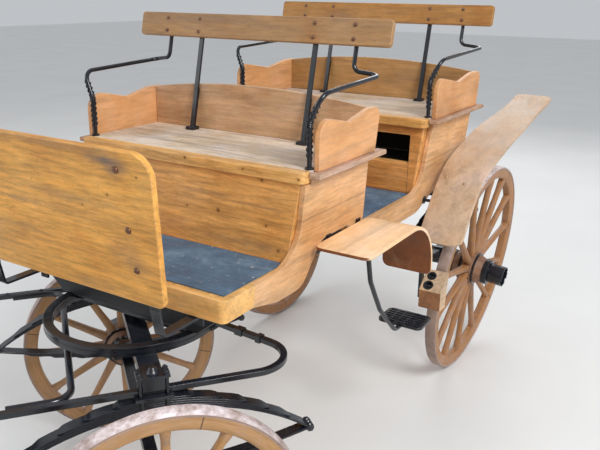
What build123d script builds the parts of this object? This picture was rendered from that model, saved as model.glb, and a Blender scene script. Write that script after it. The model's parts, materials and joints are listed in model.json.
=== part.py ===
# Open horse drawn carriage with two forward facing benches, on four wooden wheels.
# Sizes are in millimetres. X runs to the carriage's left, Y to its rear and Z up.
# The model is laid out from the kingpin of the front gear, on the ground, and is moved at
# the end so that the origin lies under the middle of its length.
from build123d import *
from math import atan2, cos, pi, radians, sin, tan
import os

# Running gear
wheelbase = 1755
origin_behind_kingpin = 897
gear_turn_deg = -38.4          # the front gear stands turned to the right
track = 1206                   # between the hub centres

front_wheel_radius = 400
rear_wheel_radius = 525
front_camber_deg = 3
rear_camber_deg = 6
tyre_width = 50
tyre_thickness = 10
felloe_depth = 46
felloe_width = 48
felloe_rounding = 6
front_spoke_count = 12
rear_spoke_count = 14
spoke_hub_width = 34           # along the rim
spoke_hub_depth = 40           # along the axle
spoke_rim_width = 24
spoke_rim_depth = 30
spoke_rounding = 9
spoke_tenon = 14               # how deep a spoke sits in the nave
wheel_dish = 16                # the felloes stand outside the spokes' roots
nave_length = 196
nave_middle_radius = 82
nave_end_radius = 60
hub_band_width = 22
hub_band_thickness = 4
hub_cap_radius = 50
hub_cap_length = 86
hub_cap_rounding = 5
hub_flange_thickness = 6
arm_radius = 20
arm_clearance = 0.06
running_gap = 0.3              # between faces that slide past each other
seat_gap = 0.3                 # between a round or leaning piece and what carries it

axle_section = 42
axle_collar_radius = 34
axle_collar_length = 14

# Elliptic springs
spring_spread = 840            # between the left and right springs' middles
spring_width = 45
leaf_thickness = 7
upper_leaves = 6
lower_leaves = 5
shortest_leaf_cut = 0.78       # how far the shortest leaf falls short of the main one
front_spring_half = 480
front_spring_rise = 158
front_spring_drop = 62
rear_spring_half = 490
rear_spring_rise = 140
rear_spring_drop = 80
eye_radius = 14
eye_overhang = 6               # the eye's bush stands proud of the leaves on each side
saddle_thickness = 10
saddle_length = 110
saddle_overhang = 8
saddle_grip = 6                # how far a saddle reaches up round the shortest leaf

# Front gear, laid out straight ahead and turned as a whole
bar_width = 22
bar_height = 18
futchell_front = -640
loop_corner_y = 525            # where a bar would turn if its loop had no radius
loop_radius = 112
loop_end_x = 40                # where a loop ends under the lower ring
ring_outer_radius = 292
ring_inner_radius = 262
lower_ring_thickness = 16
upper_ring_thickness = 14
bolster_width = 64
bolster_height = 38
hoop_radius = 11
hoop_stay_y = -225
hoop_front_y = -400
hoop_bend = 60
splinter_bar_half = 430
splinter_bar_y = -600
splinter_bar_width = 62
splinter_bar_height = 46
splinter_bar_rounding = 8
trace_pin_x = 360
trace_pin_radius = 7
pole_socket_width = 84
pole_socket_height = 74
pole_socket_length = 190
pole_socket_wall = 8
pole_socket_reach = 20         # in front of the splinter bar
pole_pin_setback = 130
pole_pin_radius = 8
kingpin_radius = 16
kingpin_clearance = 0.06
kingpin_head_radius = 30
kingpin_head_height = 14

# Body shell
board = 22
floor_top = 1000
floor_thickness = 22
mat_thickness = 4
mat_margin = 8
body_half_width = 478          # outside the sides, at floor level
flare_deg = 6
fit_gap = 0.3                  # round a board let in between others
curb_front = -112
curb_return = 45               # where the curb's ends meet the side boards
curb_top = 1003
curb_height = 77
curb_corner = 20
curb_corner_inside = 2
sill_bottom = 893
sill_front_rise = 135          # length over which the sill's belly rises to the curb
arch_front = 430
arch_rear = 620
arch_slope_front = 100
arch_slope_rear = 180
arch_bottom = 1040
rear_sill_top = 1015
rear_sill_bottom = 912
rear_bottom = 975
rear_bottom_start = 1450
rear_side_front = 1290
rear_side_lean = 30
front_side_lean = 24
swoop_radius_front = 130       # where the low sill sweeps up into a seat's side
swoop_radius_rear = 110
side_foot_radius = 40          # the rounded corners of a side's lower edge, from the tail forward
tail_rise_radius = 160
rear_sill_radius = 160
arch_toe_radius = 50
arch_rear_radius = 40
arch_front_radius = 60
arch_heel_radius = 70
front_sill_radius = 120
body_back = 1790

# Seats
seat_board_thickness = 24
rail_height = 41
rail_depth = 46
seat_inset = 5                 # the seat boards' ends stand inside the side boards' faces
ledge_width = 45
ledge_thickness = 18
ledge_tail = 64                # a ledge runs on behind the seat
ledge_setback = 30             # behind the rail's front edge
arm_thickness = 22
arm_setback = 62               # behind the rail's front edge
arm_tail = 14                  # its foot runs on behind the seat's back
arm_rake = 34                  # its rear edge leans back this far
arm_height = 161
arm_shoulder_height = 176      # where the front edge and the falling top would meet
arm_shoulder_radius = 60
arm_dip_share = 0.51           # along the arm's foot
arm_dip_height = 134
arm_dip_radius = 14
arm_hump_share = 0.82
arm_hump_radius = 150
arm_rear_radius = 36
low_back_thickness = 16
low_back_setback = 8
low_back_height = 118
low_back_crown = 22
backrest_height = 94
backrest_thickness = 22
backrest_half = 578
backrest_rise = 368            # along the posts, from the seat to the board
backrest_lean_deg = 13
backrest_corner = 14
post_setback = 76              # the posts' feet stand this far in front of the seat's back
post_spread = 534
post_width = 20
post_thickness = 9
post_root_thickness = 14
post_root_height = 170
post_foot = 40
post_foot_thickness = 12
arm_iron_radius = 8
arm_iron_inset = 145           # inside the backrest's end
arm_iron_drop = 86             # it turns out this far below the backrest
arm_iron_bow_reach = 26        # the arm rest runs outside the seat's end
arm_iron_rear_reach = 24       # behind the seat's back
arm_iron_rear_rise = 262
arm_iron_front_rise = 242
arm_iron_front_setback = 4
arm_iron_knee = 148
arm_iron_bends = [26, 30, 46, 60]
arm_iron_foot_radius = 15
arm_iron_foot_thickness = 6

seats = {
    "front": {"top": 1306, "rail_front": 270, "back": 716},
    "rear": {"top": 1340, "rail_front": 1236, "back": 1790},
}

# Seat boxes, as the panels' faces at floor level and under the seat
front_box_foot = 247
front_box_head = 283
front_box_back_foot = 716
front_box_back_head = 692
rear_box_foot = 1258
rear_box_head = 1270
locker_half = 430
locker_bottom = 1140
locker_top = 1260
locker_corner = 10

# Dash board
dash_foot_y = -285
dash_foot_z = 1028
dash_foot_half = 412
dash_top_half = 462
dash_height = 452
dash_lean_deg = 10
dash_thickness = 20
dash_corner = 62
dash_foot_corner = 24
dash_iron_x = 350
dash_iron_width = 34
dash_iron_thickness = 8
dash_iron_bend = 40
dash_iron_tab_bend = 16
dash_iron_tab_inset = 14       # the tab on the curb stops above the curb's foot
dash_iron_drop = 20            # the arm runs below the curb's top
dash_iron_reach = 380          # up the dash from its foot

# Underframe
rail_spread = 700
rail_bar_width = 46
underframe_height = 66
bed_width = 70
bed_overhang = 12
bed_end_height = 26            # the bed tapers up from the rings to its ends
bed_foot_margin = 14           # its level foot reaches past the rings
spring_bar_width = 44
cross_rail_y = 820

# Wings over the front wheels, their steps, and the rear fenders
wing_gap = 18                  # from the body's side at floor level
wing_width = 210
wing_top = 1040
wing_front = 350
wing_bend_y = 905
wing_bend_radius = 190
wing_foot = 795
wing_foot_lean = 18
wing_thickness = 14
wing_corner = 28
wing_iron_y = (470, 690)
wing_iron_width = 30
wing_iron_thickness = 6
wing_iron_leg = 56
wing_iron_inset = 16
fender_gap = 34                # from the body's side at floor level
fender_width = 200
fender_thickness = 15
fender_corner = 34
fender_line = [(1215, 812), (1400, 1030), (1750, 1130), (2555, 1298)]
fender_bends = [220, 900]
fender_iron_y = (1345, 1600)
fender_iron_radius = 7
fender_iron_inset = 40
fender_flange_radius = 18
fender_flange_thickness = 5
fender_stay_y = 2280
fender_stay_reach = 90         # it runs straight back from the rail before it turns
fender_stay_inset = 40
fender_stay_bends = [60, 40]

step_gap = 128                 # from the body's side at floor level to the step's middle
step_plate_length = 190
step_plate_width = 130
step_plate_thickness = 12
step_y = 905
step_top = 585
step_iron_radius = 9
step_iron_y = 530
step_iron_foot = 44
step_iron_foot_thickness = 6
step_iron_bend = 70
step_iron_elbows = [(40, 860), (130, 715)]   # behind its foot, and height
step_iron_seat = 0.6           # share of its radius that stands clear of the plate

# Brake
brake_block_width = 100
brake_block_depth = 72
brake_block_height = 156
brake_block_drop = 68          # its top slopes down this far to the front
brake_block_z = 603
brake_block_rounding = 10
brake_gap = 12
brake_pockets = [(0.33, 0.70, 17), (0.33, 0.25, 19)]    # share across, share up the slope, radius
brake_pocket_depth = 14
brake_shaft_radius = 14
brake_shaft_z = 790
brake_arm_thickness = 14
brake_arm_width = 30
brake_arm_foot = 40            # how far down the block its arm reaches

across = Plane(origin=(0, 0, 0), x_dir=(0, 1, 0), z_dir=(1, 0, 0))    # sketches in Y and Z
crosswise = Plane(origin=(0, 0, 0), x_dir=(1, 0, 0), z_dir=(0, -1, 0))  # sketches in X and Z

flare = radians(flare_deg)
wing_inner = body_half_width + wing_gap
wing_outer = wing_inner + wing_width
fender_inner = body_half_width + fender_gap
fender_outer = fender_inner + fender_width
step_x = body_half_width + step_gap
arm_iron_board_x = backrest_half - arm_iron_inset
underframe_top = floor_top - floor_thickness
underframe_bottom = underframe_top - underframe_height


# Shared shapes

def side_x(z):
    """Outer face of a side board at height z."""
    return body_half_width + (z - floor_top) * tan(flare)


def inner_x(z):
    """Inner face of a side board at height z."""
    return side_x(z) - board / cos(flare)


def box(x, y, z):
    """A block from three (low, high) pairs."""
    size = [high - low for low, high in (x, y, z)]
    middle = [(high + low) / 2 for low, high in (x, y, z)]
    return Pos(*middle) * Box(*size)


def mirrored(piece):
    return mirror(piece, about=Plane.YZ)


def both_sides(pieces):
    """Left pieces and their mirror images, as solids of one sub-part."""
    pieces = pieces if isinstance(pieces, list) else [pieces]
    return pieces + [mirrored(piece) for piece in pieces]


def corner_face(table):
    """A closed face from rows of (first coordinate, second coordinate, corner radius)."""
    corners = [(row[0], row[1]) for row in table]
    return make_face(FilletPolyline(*corners, radius=[row[2] for row in table], close=True))


def upright_plate(table, x_low, x_high):
    """A plate across X, outlined in (y, z, corner radius)."""
    return Pos(x_low, 0, 0) * extrude(across * corner_face(table), x_high - x_low)


def flared_plate(table):
    """A board of the left side, its inner face outlined in (y, z, corner radius), leaning out."""
    lean = Plane(origin=(inner_x(floor_top), 0, floor_top), x_dir=(0, 1, 0), z_dir=(cos(flare), 0, -sin(flare)))
    rows = [(y, (z - floor_top) / cos(flare), radius) for y, z, radius in table]
    return extrude(lean * corner_face(rows), board)


def round_bar(points, bends, radius):
    """A round bar along straight runs joined by arcs."""
    path = FilletPolyline(*points, radius=bends)
    start = Plane(origin=path @ 0, z_dir=path % 0)
    return sweep(start * Circle(radius), path=path)


def flat_bar(points, bends, width, thickness, level=True):
    """A flat bar: its width lies level across the path, or along X for a path in Y and Z."""
    path = FilletPolyline(*points, radius=bends)
    wide = (0, 0, 1) if level else (1, 0, 0)
    start = Plane(origin=path @ 0, x_dir=wide, z_dir=path % 0)
    section = Rectangle(thickness, width) if level else Rectangle(width, thickness)
    return sweep(start * section, path=path)


def between_sides(piece):
    """Trims a cross piece to the room between the two side boards."""
    low, high = sill_bottom - board, seats["rear"]["top"] + board
    room = make_face(Polyline((-inner_x(low) + fit_gap, low), (inner_x(low) - fit_gap, low),
                              (inner_x(high) - fit_gap, high), (-inner_x(high) + fit_gap, high), close=True))
    return piece & (Pos(0, body_back + board, 0) * extrude(crosswise * room, body_back - curb_front + 3 * board))


def cross_panel(foot, head, thickness):
    """A board from side to side whose front face runs from foot (y, z) to head (y, z)."""
    rows = [(*foot, 0), (*head, 0), (head[0] + thickness, head[1], 0), (foot[0] + thickness, foot[1], 0)]
    return between_sides(upright_plate(rows, -body_half_width - 2 * board, body_half_width + 2 * board))


# Wheels

def wheel_pieces(radius, spokes):
    """Wood, tyre and hub irons of a wheel whose outer side faces +X, about the origin."""
    rim_outer = radius - tyre_thickness
    rim_inner = rim_outer - felloe_depth
    rim = extrude(across * (Circle(rim_outer) - Circle(rim_inner)), felloe_width / 2, both=True)
    inner_edges = [edge for edge in rim.edges().filter_by(GeomType.CIRCLE) if abs(edge.radius - rim_inner) < 1]
    rim = fillet(inner_edges, felloe_rounding)
    half = nave_length / 2
    nave_start = -wheel_dish - half
    nave_end = -wheel_dish + half
    profile = Polyline(
        (nave_start, arm_radius + arm_clearance),
        (nave_start, nave_end_radius),
        (nave_start + hub_band_width, nave_end_radius),
        (-wheel_dish - spoke_hub_depth / 2, nave_middle_radius),
        (-wheel_dish + spoke_hub_depth / 2, nave_middle_radius),
        (nave_end - hub_band_width, nave_end_radius),
        (nave_end, nave_end_radius),
        (nave_end, arm_radius + arm_clearance),
        close=True)
    wood = rim + revolve(make_face(profile), Axis.X)
    root = Plane(origin=(-wheel_dish, 0, nave_middle_radius - spoke_tenon), x_dir=(1, 0, 0), z_dir=(0, 0, 1))
    tip = Plane(origin=(0, 0, rim_inner + felloe_rounding), x_dir=(1, 0, 0), z_dir=(0, 0, 1))
    spoke = loft([root * RectangleRounded(spoke_hub_depth, spoke_hub_width, spoke_rounding),
                  tip * RectangleRounded(spoke_rim_depth, spoke_rim_width, spoke_rounding)], ruled=True)
    wood += [Rot(X=360 * index / spokes) * spoke for index in range(spokes)]
    tyre = extrude(across * (Circle(radius) - Circle(rim_outer)), tyre_width / 2, both=True)
    band_face = across * (Circle(nave_end_radius + hub_band_thickness) - Circle(nave_end_radius))
    inner_band = Pos(nave_start, 0, 0) * extrude(band_face, hub_band_width)
    outer_band = Pos(nave_end - hub_band_width, 0, 0) * extrude(band_face, hub_band_width)
    flange = extrude(across * Circle(nave_end_radius + hub_band_thickness), hub_flange_thickness)
    cap = extrude(across * Circle(hub_cap_radius), hub_cap_length)
    cap = fillet(cap.faces().sort_by(Axis.X)[-1].edges(), hub_cap_rounding)
    outer_iron = outer_band + Pos(nave_end, 0, 0) * (flange + cap)
    return {"wheel": [wood], "tyre": [tyre], "hub": [inner_band, outer_iron]}


def wheel_place(axle_y, radius, camber_deg):
    """Where the left wheel of an axle goes, tilted out at the top."""
    height = radius * cos(radians(camber_deg)) + tyre_width / 2 * sin(radians(camber_deg))
    return Pos(track / 2, axle_y, height) * Rot(Y=camber_deg)


def wheel_pair(name, axle_y, radius, camber_deg, spokes):
    """Sub-parts of the left and the right wheel of an axle."""
    place = wheel_place(axle_y, radius, camber_deg)
    nodes = {}
    for piece, solids in wheel_pieces(radius, spokes).items():
        placed = [place * solid for solid in solids]
        nodes[f"{name}_left_{piece}"] = placed
        nodes[f"{name}_right_{piece}"] = [mirrored(solid) for solid in placed]
    return nodes


def axle(axle_y, radius, camber_deg):
    """A square beam whose round arms dip to the hubs, and the height of its top."""
    place = wheel_place(axle_y, radius, camber_deg)
    arm_end = -wheel_dish + nave_length / 2 - running_gap
    collar_end = -wheel_dish - nave_length / 2 - running_gap
    arm_start = collar_end - axle_collar_length
    arm = Pos(arm_start, 0, 0) * extrude(across * Circle(arm_radius), arm_end - arm_start)
    arm += Pos(arm_start, 0, 0) * extrude(across * Circle(axle_collar_radius), axle_collar_length)
    arm = place * arm
    middle_z = place.position.Z - collar_end * sin(radians(camber_deg))
    beam_half = track / 2 + (arm_start + axle_collar_length / 2) * cos(radians(camber_deg))
    half = axle_section / 2
    beam = box((-beam_half, beam_half), (axle_y - half, axle_y + half), (middle_z - half, middle_z + half))
    return beam + arm + mirrored(arm), middle_z + half


# Springs

def leaf_pack(half, rise, leaves):
    """The upper half of an elliptic spring: a main leaf from eye to eye, shorter ones on it."""
    radius = (half * half + rise * rise) / (2 * rise)
    full_angle = atan2(half, radius - rise)
    centre_z = rise - radius
    pack = []
    for index in range(leaves):
        angle = full_angle * (1 - shortest_leaf_cut * index / (leaves - 1))
        inner = radius + leaf_thickness * (index - 0.5)
        outer = inner + leaf_thickness
        tips = [(r * sin(angle), centre_z + r * cos(angle)) for r in (outer, inner)]
        leaf_face = make_face([
            ThreePointArc((-tips[0][0], tips[0][1]), (0, centre_z + outer), tips[0]),
            Line(tips[0], tips[1]),
            ThreePointArc(tips[1], (0, centre_z + inner), (-tips[1][0], tips[1][1])),
            Line((-tips[1][0], tips[1][1]), (-tips[0][0], tips[0][1])),
        ])
        pack.append(extrude(across * leaf_face, spring_width / 2, both=True))
    return pack[0] + pack[1:]


def elliptic_spring(axle_y, half, rise, drop, seat_z):
    """The left spring with its two saddles, the lower on seat_z, and the height of its top."""
    low_leaf = seat_z + saddle_thickness
    eye_z = low_leaf + drop + leaf_thickness * (lower_leaves - 0.5)
    high_leaf = eye_z + rise + leaf_thickness * (upper_leaves - 0.5)
    spring = leaf_pack(half, rise, upper_leaves) + mirror(leaf_pack(half, drop, lower_leaves), about=Plane.XY)
    eye = Rot(Y=90) * Cylinder(eye_radius, spring_width + 2 * eye_overhang)
    spring += [Pos(0, half, 0) * eye, Pos(0, -half, 0) * eye]
    spring = Pos(0, 0, eye_z) * spring
    half_width = spring_width / 2 + saddle_overhang
    for low, high in ((seat_z, low_leaf + saddle_grip), (high_leaf - saddle_grip, high_leaf + saddle_thickness)):
        spring += box((-half_width, half_width), (-saddle_length / 2, saddle_length / 2), (low, high))
    return Pos(spring_spread / 2, axle_y, 0) * spring, high_leaf + saddle_thickness


# Front gear

front_axle, front_axle_top = axle(0, front_wheel_radius, front_camber_deg)
front_spring, futchell_low = elliptic_spring(0, front_spring_half, front_spring_rise, front_spring_drop,
                                             front_axle_top)
futchell_middle = futchell_low + bar_height / 2
futchell_top = futchell_low + bar_height
lower_ring_bottom = futchell_top + bolster_height
lower_ring_top = lower_ring_bottom + lower_ring_thickness


def futchell():
    """The left bar under the splinter bar, over the spring and round in a loop to the ring."""
    x = spring_spread / 2
    return flat_bar([(x, futchell_front, futchell_middle), (x, loop_corner_y, futchell_middle),
                     (loop_end_x, ring_middle_y(loop_end_x), futchell_middle)],
                    [loop_radius], bar_width, bar_height)


def ring_middle_y(x):
    """How far behind the kingpin the rings' middle line lies at x."""
    middle = (ring_outer_radius + ring_inner_radius) / 2
    return (middle * middle - x * x) ** 0.5


def turntable_bolster():
    """The cross bar over the springs, the lower ring on it, and the pads of the loops' ends."""
    half_length = spring_spread / 2 + bar_width
    piece = box((-half_length, half_length), (-bolster_width / 2, bolster_width / 2),
                (futchell_top, lower_ring_bottom))
    ring_face = Circle(ring_outer_radius) - Circle(ring_inner_radius)
    piece += Pos(0, 0, lower_ring_bottom) * extrude(ring_face, lower_ring_thickness)
    pad_y = ring_middle_y(loop_end_x)
    for side in (-1, 1):
        x = side * loop_end_x
        piece += box((x - bar_width / 2, x + bar_width / 2), (pad_y - bar_width / 2, pad_y + bar_width / 2),
                     (futchell_top, lower_ring_bottom))
    return piece - Pos(0, 0, lower_ring_bottom) * Cylinder(kingpin_radius + kingpin_clearance, 4 * bolster_height)


def hoop_stay():
    x = spring_spread / 2 - bar_width / 2 - hoop_radius - seat_gap
    return round_bar([(x, hoop_front_y, futchell_middle), (x, hoop_stay_y, futchell_middle),
                      (-x, hoop_stay_y, futchell_middle), (-x, hoop_front_y, futchell_middle)],
                     [hoop_bend, hoop_bend], hoop_radius)


def splinter_bar():
    half_width = splinter_bar_width / 2
    piece = box((-splinter_bar_half, splinter_bar_half),
                (splinter_bar_y - half_width, splinter_bar_y + half_width),
                (futchell_top, futchell_top + splinter_bar_height))
    piece = fillet(piece.edges().filter_by(Axis.X), splinter_bar_rounding)
    for side in (-1, 1):
        piece -= Pos(side * trace_pin_x, splinter_bar_y, futchell_top) * Cylinder(trace_pin_radius,
                                                                                  3 * splinter_bar_height)
    return piece


def pole_socket():
    """An open fronted iron box under the splinter bar, with a hole for the pole's pin."""
    front = splinter_bar_y - splinter_bar_width / 2 - pole_socket_reach
    half = pole_socket_width / 2
    low = futchell_top - pole_socket_height
    inside = half - pole_socket_wall
    piece = box((-half, half), (front, front + pole_socket_length), (low, futchell_top))
    piece -= box((-inside, inside), (front - pole_socket_wall, front + pole_socket_length - pole_socket_wall),
                 (low + pole_socket_wall, futchell_top - pole_socket_wall))
    return piece - Pos(0, front + pole_pin_setback, low) * Cylinder(pole_pin_radius, 3 * pole_socket_height)


# Under the body

def turntable_ring():
    """The upper ring, its bar, and the kingpin that drops through the bolster to its nut."""
    low = lower_ring_top + running_gap
    ring = Circle(ring_outer_radius) - Circle(ring_inner_radius)
    ring += Rectangle(2 * ring_inner_radius + bar_width, bolster_width)
    piece = Pos(0, 0, low) * extrude(ring, upper_ring_thickness)
    head_top = futchell_top - running_gap
    pin_length = low - head_top
    piece += Pos(0, 0, head_top + pin_length / 2) * Cylinder(kingpin_radius, pin_length)
    return piece + Pos(0, 0, head_top - kingpin_head_height / 2) * Cylinder(kingpin_head_radius, kingpin_head_height)


def underframe():
    """Two rails under the floor, the bed over the rings and a cross rail."""
    x = rail_spread / 2
    half = rail_bar_width / 2
    rail = box((x - half, x + half), (curb_front + 2 * board, body_back), (underframe_bottom, underframe_top))
    bed_half = x + half + bed_overhang
    bed_foot = ring_outer_radius + bed_foot_margin
    bed_low = lower_ring_top + running_gap + upper_ring_thickness
    end_low = underframe_bottom - bed_end_height
    outline = [(-bed_half, underframe_bottom), (bed_half, underframe_bottom), (bed_half, end_low),
               (bed_foot, bed_low), (-bed_foot, bed_low), (-bed_half, end_low)]
    bed = extrude(crosswise * make_face(Polyline(*outline, close=True)), bed_width / 2, both=True)
    cross_rail = box((-x, x), (cross_rail_y - half, cross_rail_y + half), (underframe_bottom, underframe_top))
    return rail + mirrored(rail) + bed + cross_rail


rear_axle, rear_axle_top = axle(wheelbase, rear_wheel_radius, rear_camber_deg)
rear_spring, spring_bar_low = elliptic_spring(wheelbase, rear_spring_half, rear_spring_rise, rear_spring_drop,
                                              rear_axle_top)


def rear_spring_bar():
    half_length = spring_spread / 2 + spring_width
    return box((-half_length, half_length), (wheelbase - spring_bar_width / 2, wheelbase + spring_bar_width / 2),
               (spring_bar_low, underframe_bottom))


rear_place = wheel_place(wheelbase, rear_wheel_radius, rear_camber_deg)
rear_hub_z = rear_place.position.Z
brake_block_x = rear_place.position.X + (brake_block_z - rear_hub_z) * tan(radians(rear_camber_deg))
brake_block_back = wheelbase - (rear_wheel_radius ** 2 - (brake_block_z - rear_hub_z) ** 2) ** 0.5
brake_block_front = brake_block_back - brake_gap - brake_block_depth


def brake_block():
    """The left shoe of wood, hollowed to the wheel, its sloping top with two bolt pockets."""
    low = brake_block_z - brake_block_height / 2
    top = low + brake_block_height
    front_top = top - brake_block_drop
    run = brake_gap + brake_block_depth
    rows = [(brake_block_front, low, brake_block_rounding), (brake_block_front, front_top, brake_block_rounding),
            (brake_block_back, top, 0), (brake_block_back, low, 0)]
    half = brake_block_width / 2
    block = upright_plate(rows, brake_block_x - half, brake_block_x + half)
    block -= Pos(brake_block_x, wheelbase, rear_hub_z) * Rot(Y=90) * Cylinder(rear_wheel_radius + brake_gap,
                                                                               2 * brake_block_width)
    slope = atan2(brake_block_drop, run)
    for across_share, up_share, radius in brake_pockets:
        mouth = Pos(brake_block_x - half + across_share * brake_block_width, brake_block_front + up_share * run,
                    front_top + up_share * brake_block_drop)
        block -= mouth * Rot(X=slope * 180 / pi) * Cylinder(radius, 2 * brake_pocket_depth)
    return block


def brake_gear():
    """A cross shaft hung from the rails, with an arm down the inner side of each brake block."""
    arm_y = (brake_block_front + brake_block_back - brake_gap) / 2
    arm_outer = brake_block_x - brake_block_width / 2
    half_arm = brake_arm_width / 2
    arm = box((arm_outer - brake_arm_thickness, arm_outer), (arm_y - half_arm, arm_y + half_arm),
              (brake_block_z - brake_arm_foot, brake_shaft_z))
    hanger_x = rail_spread / 2
    half_hanger = brake_arm_thickness / 2
    hanger = box((hanger_x - half_hanger, hanger_x + half_hanger), (arm_y - half_arm, arm_y + half_arm),
                 (brake_shaft_z, underframe_bottom))
    shaft = Pos(0, arm_y, brake_shaft_z) * Rot(Y=90) * Cylinder(brake_shaft_radius, 2 * arm_outer)
    for piece in (arm, hanger):
        shaft += [piece, mirrored(piece)]
    return shaft


# Body

def side_board():
    """The left side: low sills at the two foot wells, and a tall panel beside each seat."""
    front, rear = seats["front"], seats["rear"]
    front_low = front["top"] - seat_board_thickness
    rear_low = rear["top"] - seat_board_thickness
    notch_z = front["top"] - rail_height - fit_gap
    notch_y = front["rail_front"] + rail_depth + fit_gap
    front_back = front["back"]
    return flared_plate([
        (curb_return, curb_top, 0),
        (front_box_head, curb_top, swoop_radius_front),
        (front_box_head, notch_z, 0),
        (notch_y, notch_z, 0),
        (notch_y, front_low, 0),
        (front_back, front_low, 0),
        (front_back + front_side_lean, rear_sill_top, board),
        (rear_side_front, rear_sill_top, swoop_radius_rear),
        (rear_side_front + rear_side_lean, rear_low, 0),
        (body_back, rear_low, 0),
        (body_back, rear_bottom, side_foot_radius),
        (rear_bottom_start, rear_bottom, tail_rise_radius),
        (rear_side_front, rear_sill_bottom, rear_sill_radius),
        (arch_rear + arch_slope_rear, rear_sill_bottom, arch_toe_radius),
        (arch_rear, arch_bottom, arch_rear_radius),
        (arch_front, arch_bottom, arch_front_radius),
        (arch_front - arch_slope_front, sill_bottom, arch_heel_radius),
        (curb_return + sill_front_rise, sill_bottom, front_sill_radius),
        (curb_return, curb_top - curb_height, 0),
    ])


def front_curb():
    """The low board round the front foot well, its ends turned back to meet the sides."""
    low = curb_top - curb_height
    half = side_x(low)
    front = curb_front + curb_height * tan(flare)
    back = curb_return + 4 * curb_corner

    def tray(half_width, front_y, corner):
        rows = [(-half_width, front_y, corner), (half_width, front_y, corner),
                (half_width, back, 0), (-half_width, back, 0)]
        return Pos(0, 0, low) * extrude(corner_face(rows), curb_height, taper=-flare_deg)

    ring = tray(half, front, curb_corner) - tray(half - board, front + board, curb_corner_inside)
    reach = half + 2 * board
    return ring & box((-reach, reach), (front - 2 * board, curb_return), (low, curb_top))


def panel_y(foot, head, foot_z, head_z, z):
    """Where a leaning panel's face stands at height z."""
    return foot + (head - foot) * (z - foot_z) / (head_z - foot_z)


def floor_boards():
    reach = body_half_width + board
    front_y = curb_front + board + (curb_top - underframe_top) * tan(flare) + fit_gap
    rail_low = seats["front"]["top"] - rail_height
    seat_low = seats["front"]["top"] - seat_board_thickness
    raised_top = arch_bottom + floor_thickness
    raised_front = panel_y(front_box_foot, front_box_head, floor_top, rail_low, raised_top) + board + fit_gap
    raised_back = panel_y(front_box_back_foot, front_box_back_head, floor_top, seat_low, raised_top) - fit_gap
    spans = [
        (front_y, front_box_foot + board, underframe_top),
        (raised_front, raised_back, arch_bottom),
        (front_box_back_foot, body_back - board - fit_gap, underframe_top),
    ]
    boards = [between_sides(box((-reach, reach), (y_low, y_high), (z, z + floor_thickness)))
              for y_low, y_high, z in spans]
    upright = [edge for edge in boards[0].edges().sort_by(Axis.Y)[:6] if abs(edge.tangent_at(0.5).Z) > 0.9]
    boards[0] = fillet(upright, curb_corner_inside + board / 2)
    return boards


def floor_mats():
    half = inner_x(floor_top) - mat_margin
    spans = [(curb_front + board + 2 * mat_margin, front_box_foot - mat_margin),
             (front_box_back_foot + board + mat_margin, rear_box_foot - mat_margin)]
    return [box((-half, half), span, (floor_top, floor_top + mat_thickness)) for span in spans]


def front_seat_box():
    """Board front and back that close the box under the front seat."""
    top = seats["front"]["top"]
    front = cross_panel((front_box_foot, floor_top), (front_box_head, top - rail_height), board)
    back = cross_panel((front_box_back_foot, floor_top), (front_box_back_head, top - seat_board_thickness), board)
    return [front, back]


def rear_seat_box():
    """Framed front with an open locker, and the tail board."""
    top = seats["rear"]["top"]
    front = cross_panel((rear_box_foot, floor_top), (rear_box_head, top - rail_height), board)
    hole = corner_face([(-locker_half, locker_bottom, locker_corner), (locker_half, locker_bottom, locker_corner),
                        (locker_half, locker_top, locker_corner), (-locker_half, locker_top, locker_corner)])
    front -= Pos(0, rear_box_head + 2 * board, 0) * extrude(crosswise * hole, 6 * board)
    tail = cross_panel((body_back - board, underframe_top), (body_back - board, top - seat_board_thickness), board)
    return [front, tail]


# Seats

def seat_half(seat):
    """Half the length of a seat, inside its arm panels."""
    return side_x(seat["top"] - seat_board_thickness) - seat_inset


def seat_boards(seat):
    half = seat_half(seat)
    return box((-half, half), (seat["rail_front"] + rail_depth, seat["back"]),
               (seat["top"] - seat_board_thickness, seat["top"]))


def seat_rail(seat):
    half = seat_half(seat)
    rail = box((-half, half), (seat["rail_front"], seat["rail_front"] + rail_depth),
               (seat["top"] - rail_height, seat["top"]))
    front_edges = rail.edges().filter_by(Axis.Z).sort_by(Axis.Y)[:2]
    return fillet(front_edges, rail_depth / 2)


def arm_ledge(seat):
    x = seat_half(seat) + fit_gap
    low = seat["top"] - seat_board_thickness
    return box((x, x + ledge_width), (seat["rail_front"] + ledge_setback, seat["back"] + ledge_tail),
               (low, low + ledge_thickness))


def arm_panel(seat):
    """A panel with a rounded shoulder in front, a dip and a hump behind, on its ledge."""
    x = seat_half(seat) + fit_gap
    low = seat["top"] - seat_board_thickness + ledge_thickness
    front = seat["rail_front"] + arm_setback
    length = seat["back"] + arm_tail - front
    shape = [
        (0, 0, 0),
        (0, arm_shoulder_height, arm_shoulder_radius),
        (arm_dip_share * length, arm_dip_height, arm_dip_radius),
        (arm_hump_share * length, arm_height, arm_hump_radius),
        (length + arm_rake, arm_height, arm_rear_radius),
        (length, 0, 0),
    ]
    return upright_plate([(front + along, low + height, radius) for along, height, radius in shape],
                         x, x + arm_thickness)


def low_back(seat):
    """A thin board with a crowned top along the back of a seat."""
    half = seat_half(seat)
    top = seat["top"] + low_back_height
    shoulder = top - low_back_crown
    face = make_face([
        Line((-half, seat["top"]), (half, seat["top"])),
        Line((half, seat["top"]), (half, shoulder)),
        ThreePointArc((half, shoulder), (0, top), (-half, shoulder)),
        Line((-half, shoulder), (-half, seat["top"])),
    ])
    return Pos(0, seat["back"] - low_back_setback, 0) * extrude(crosswise * face, low_back_thickness)


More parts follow.
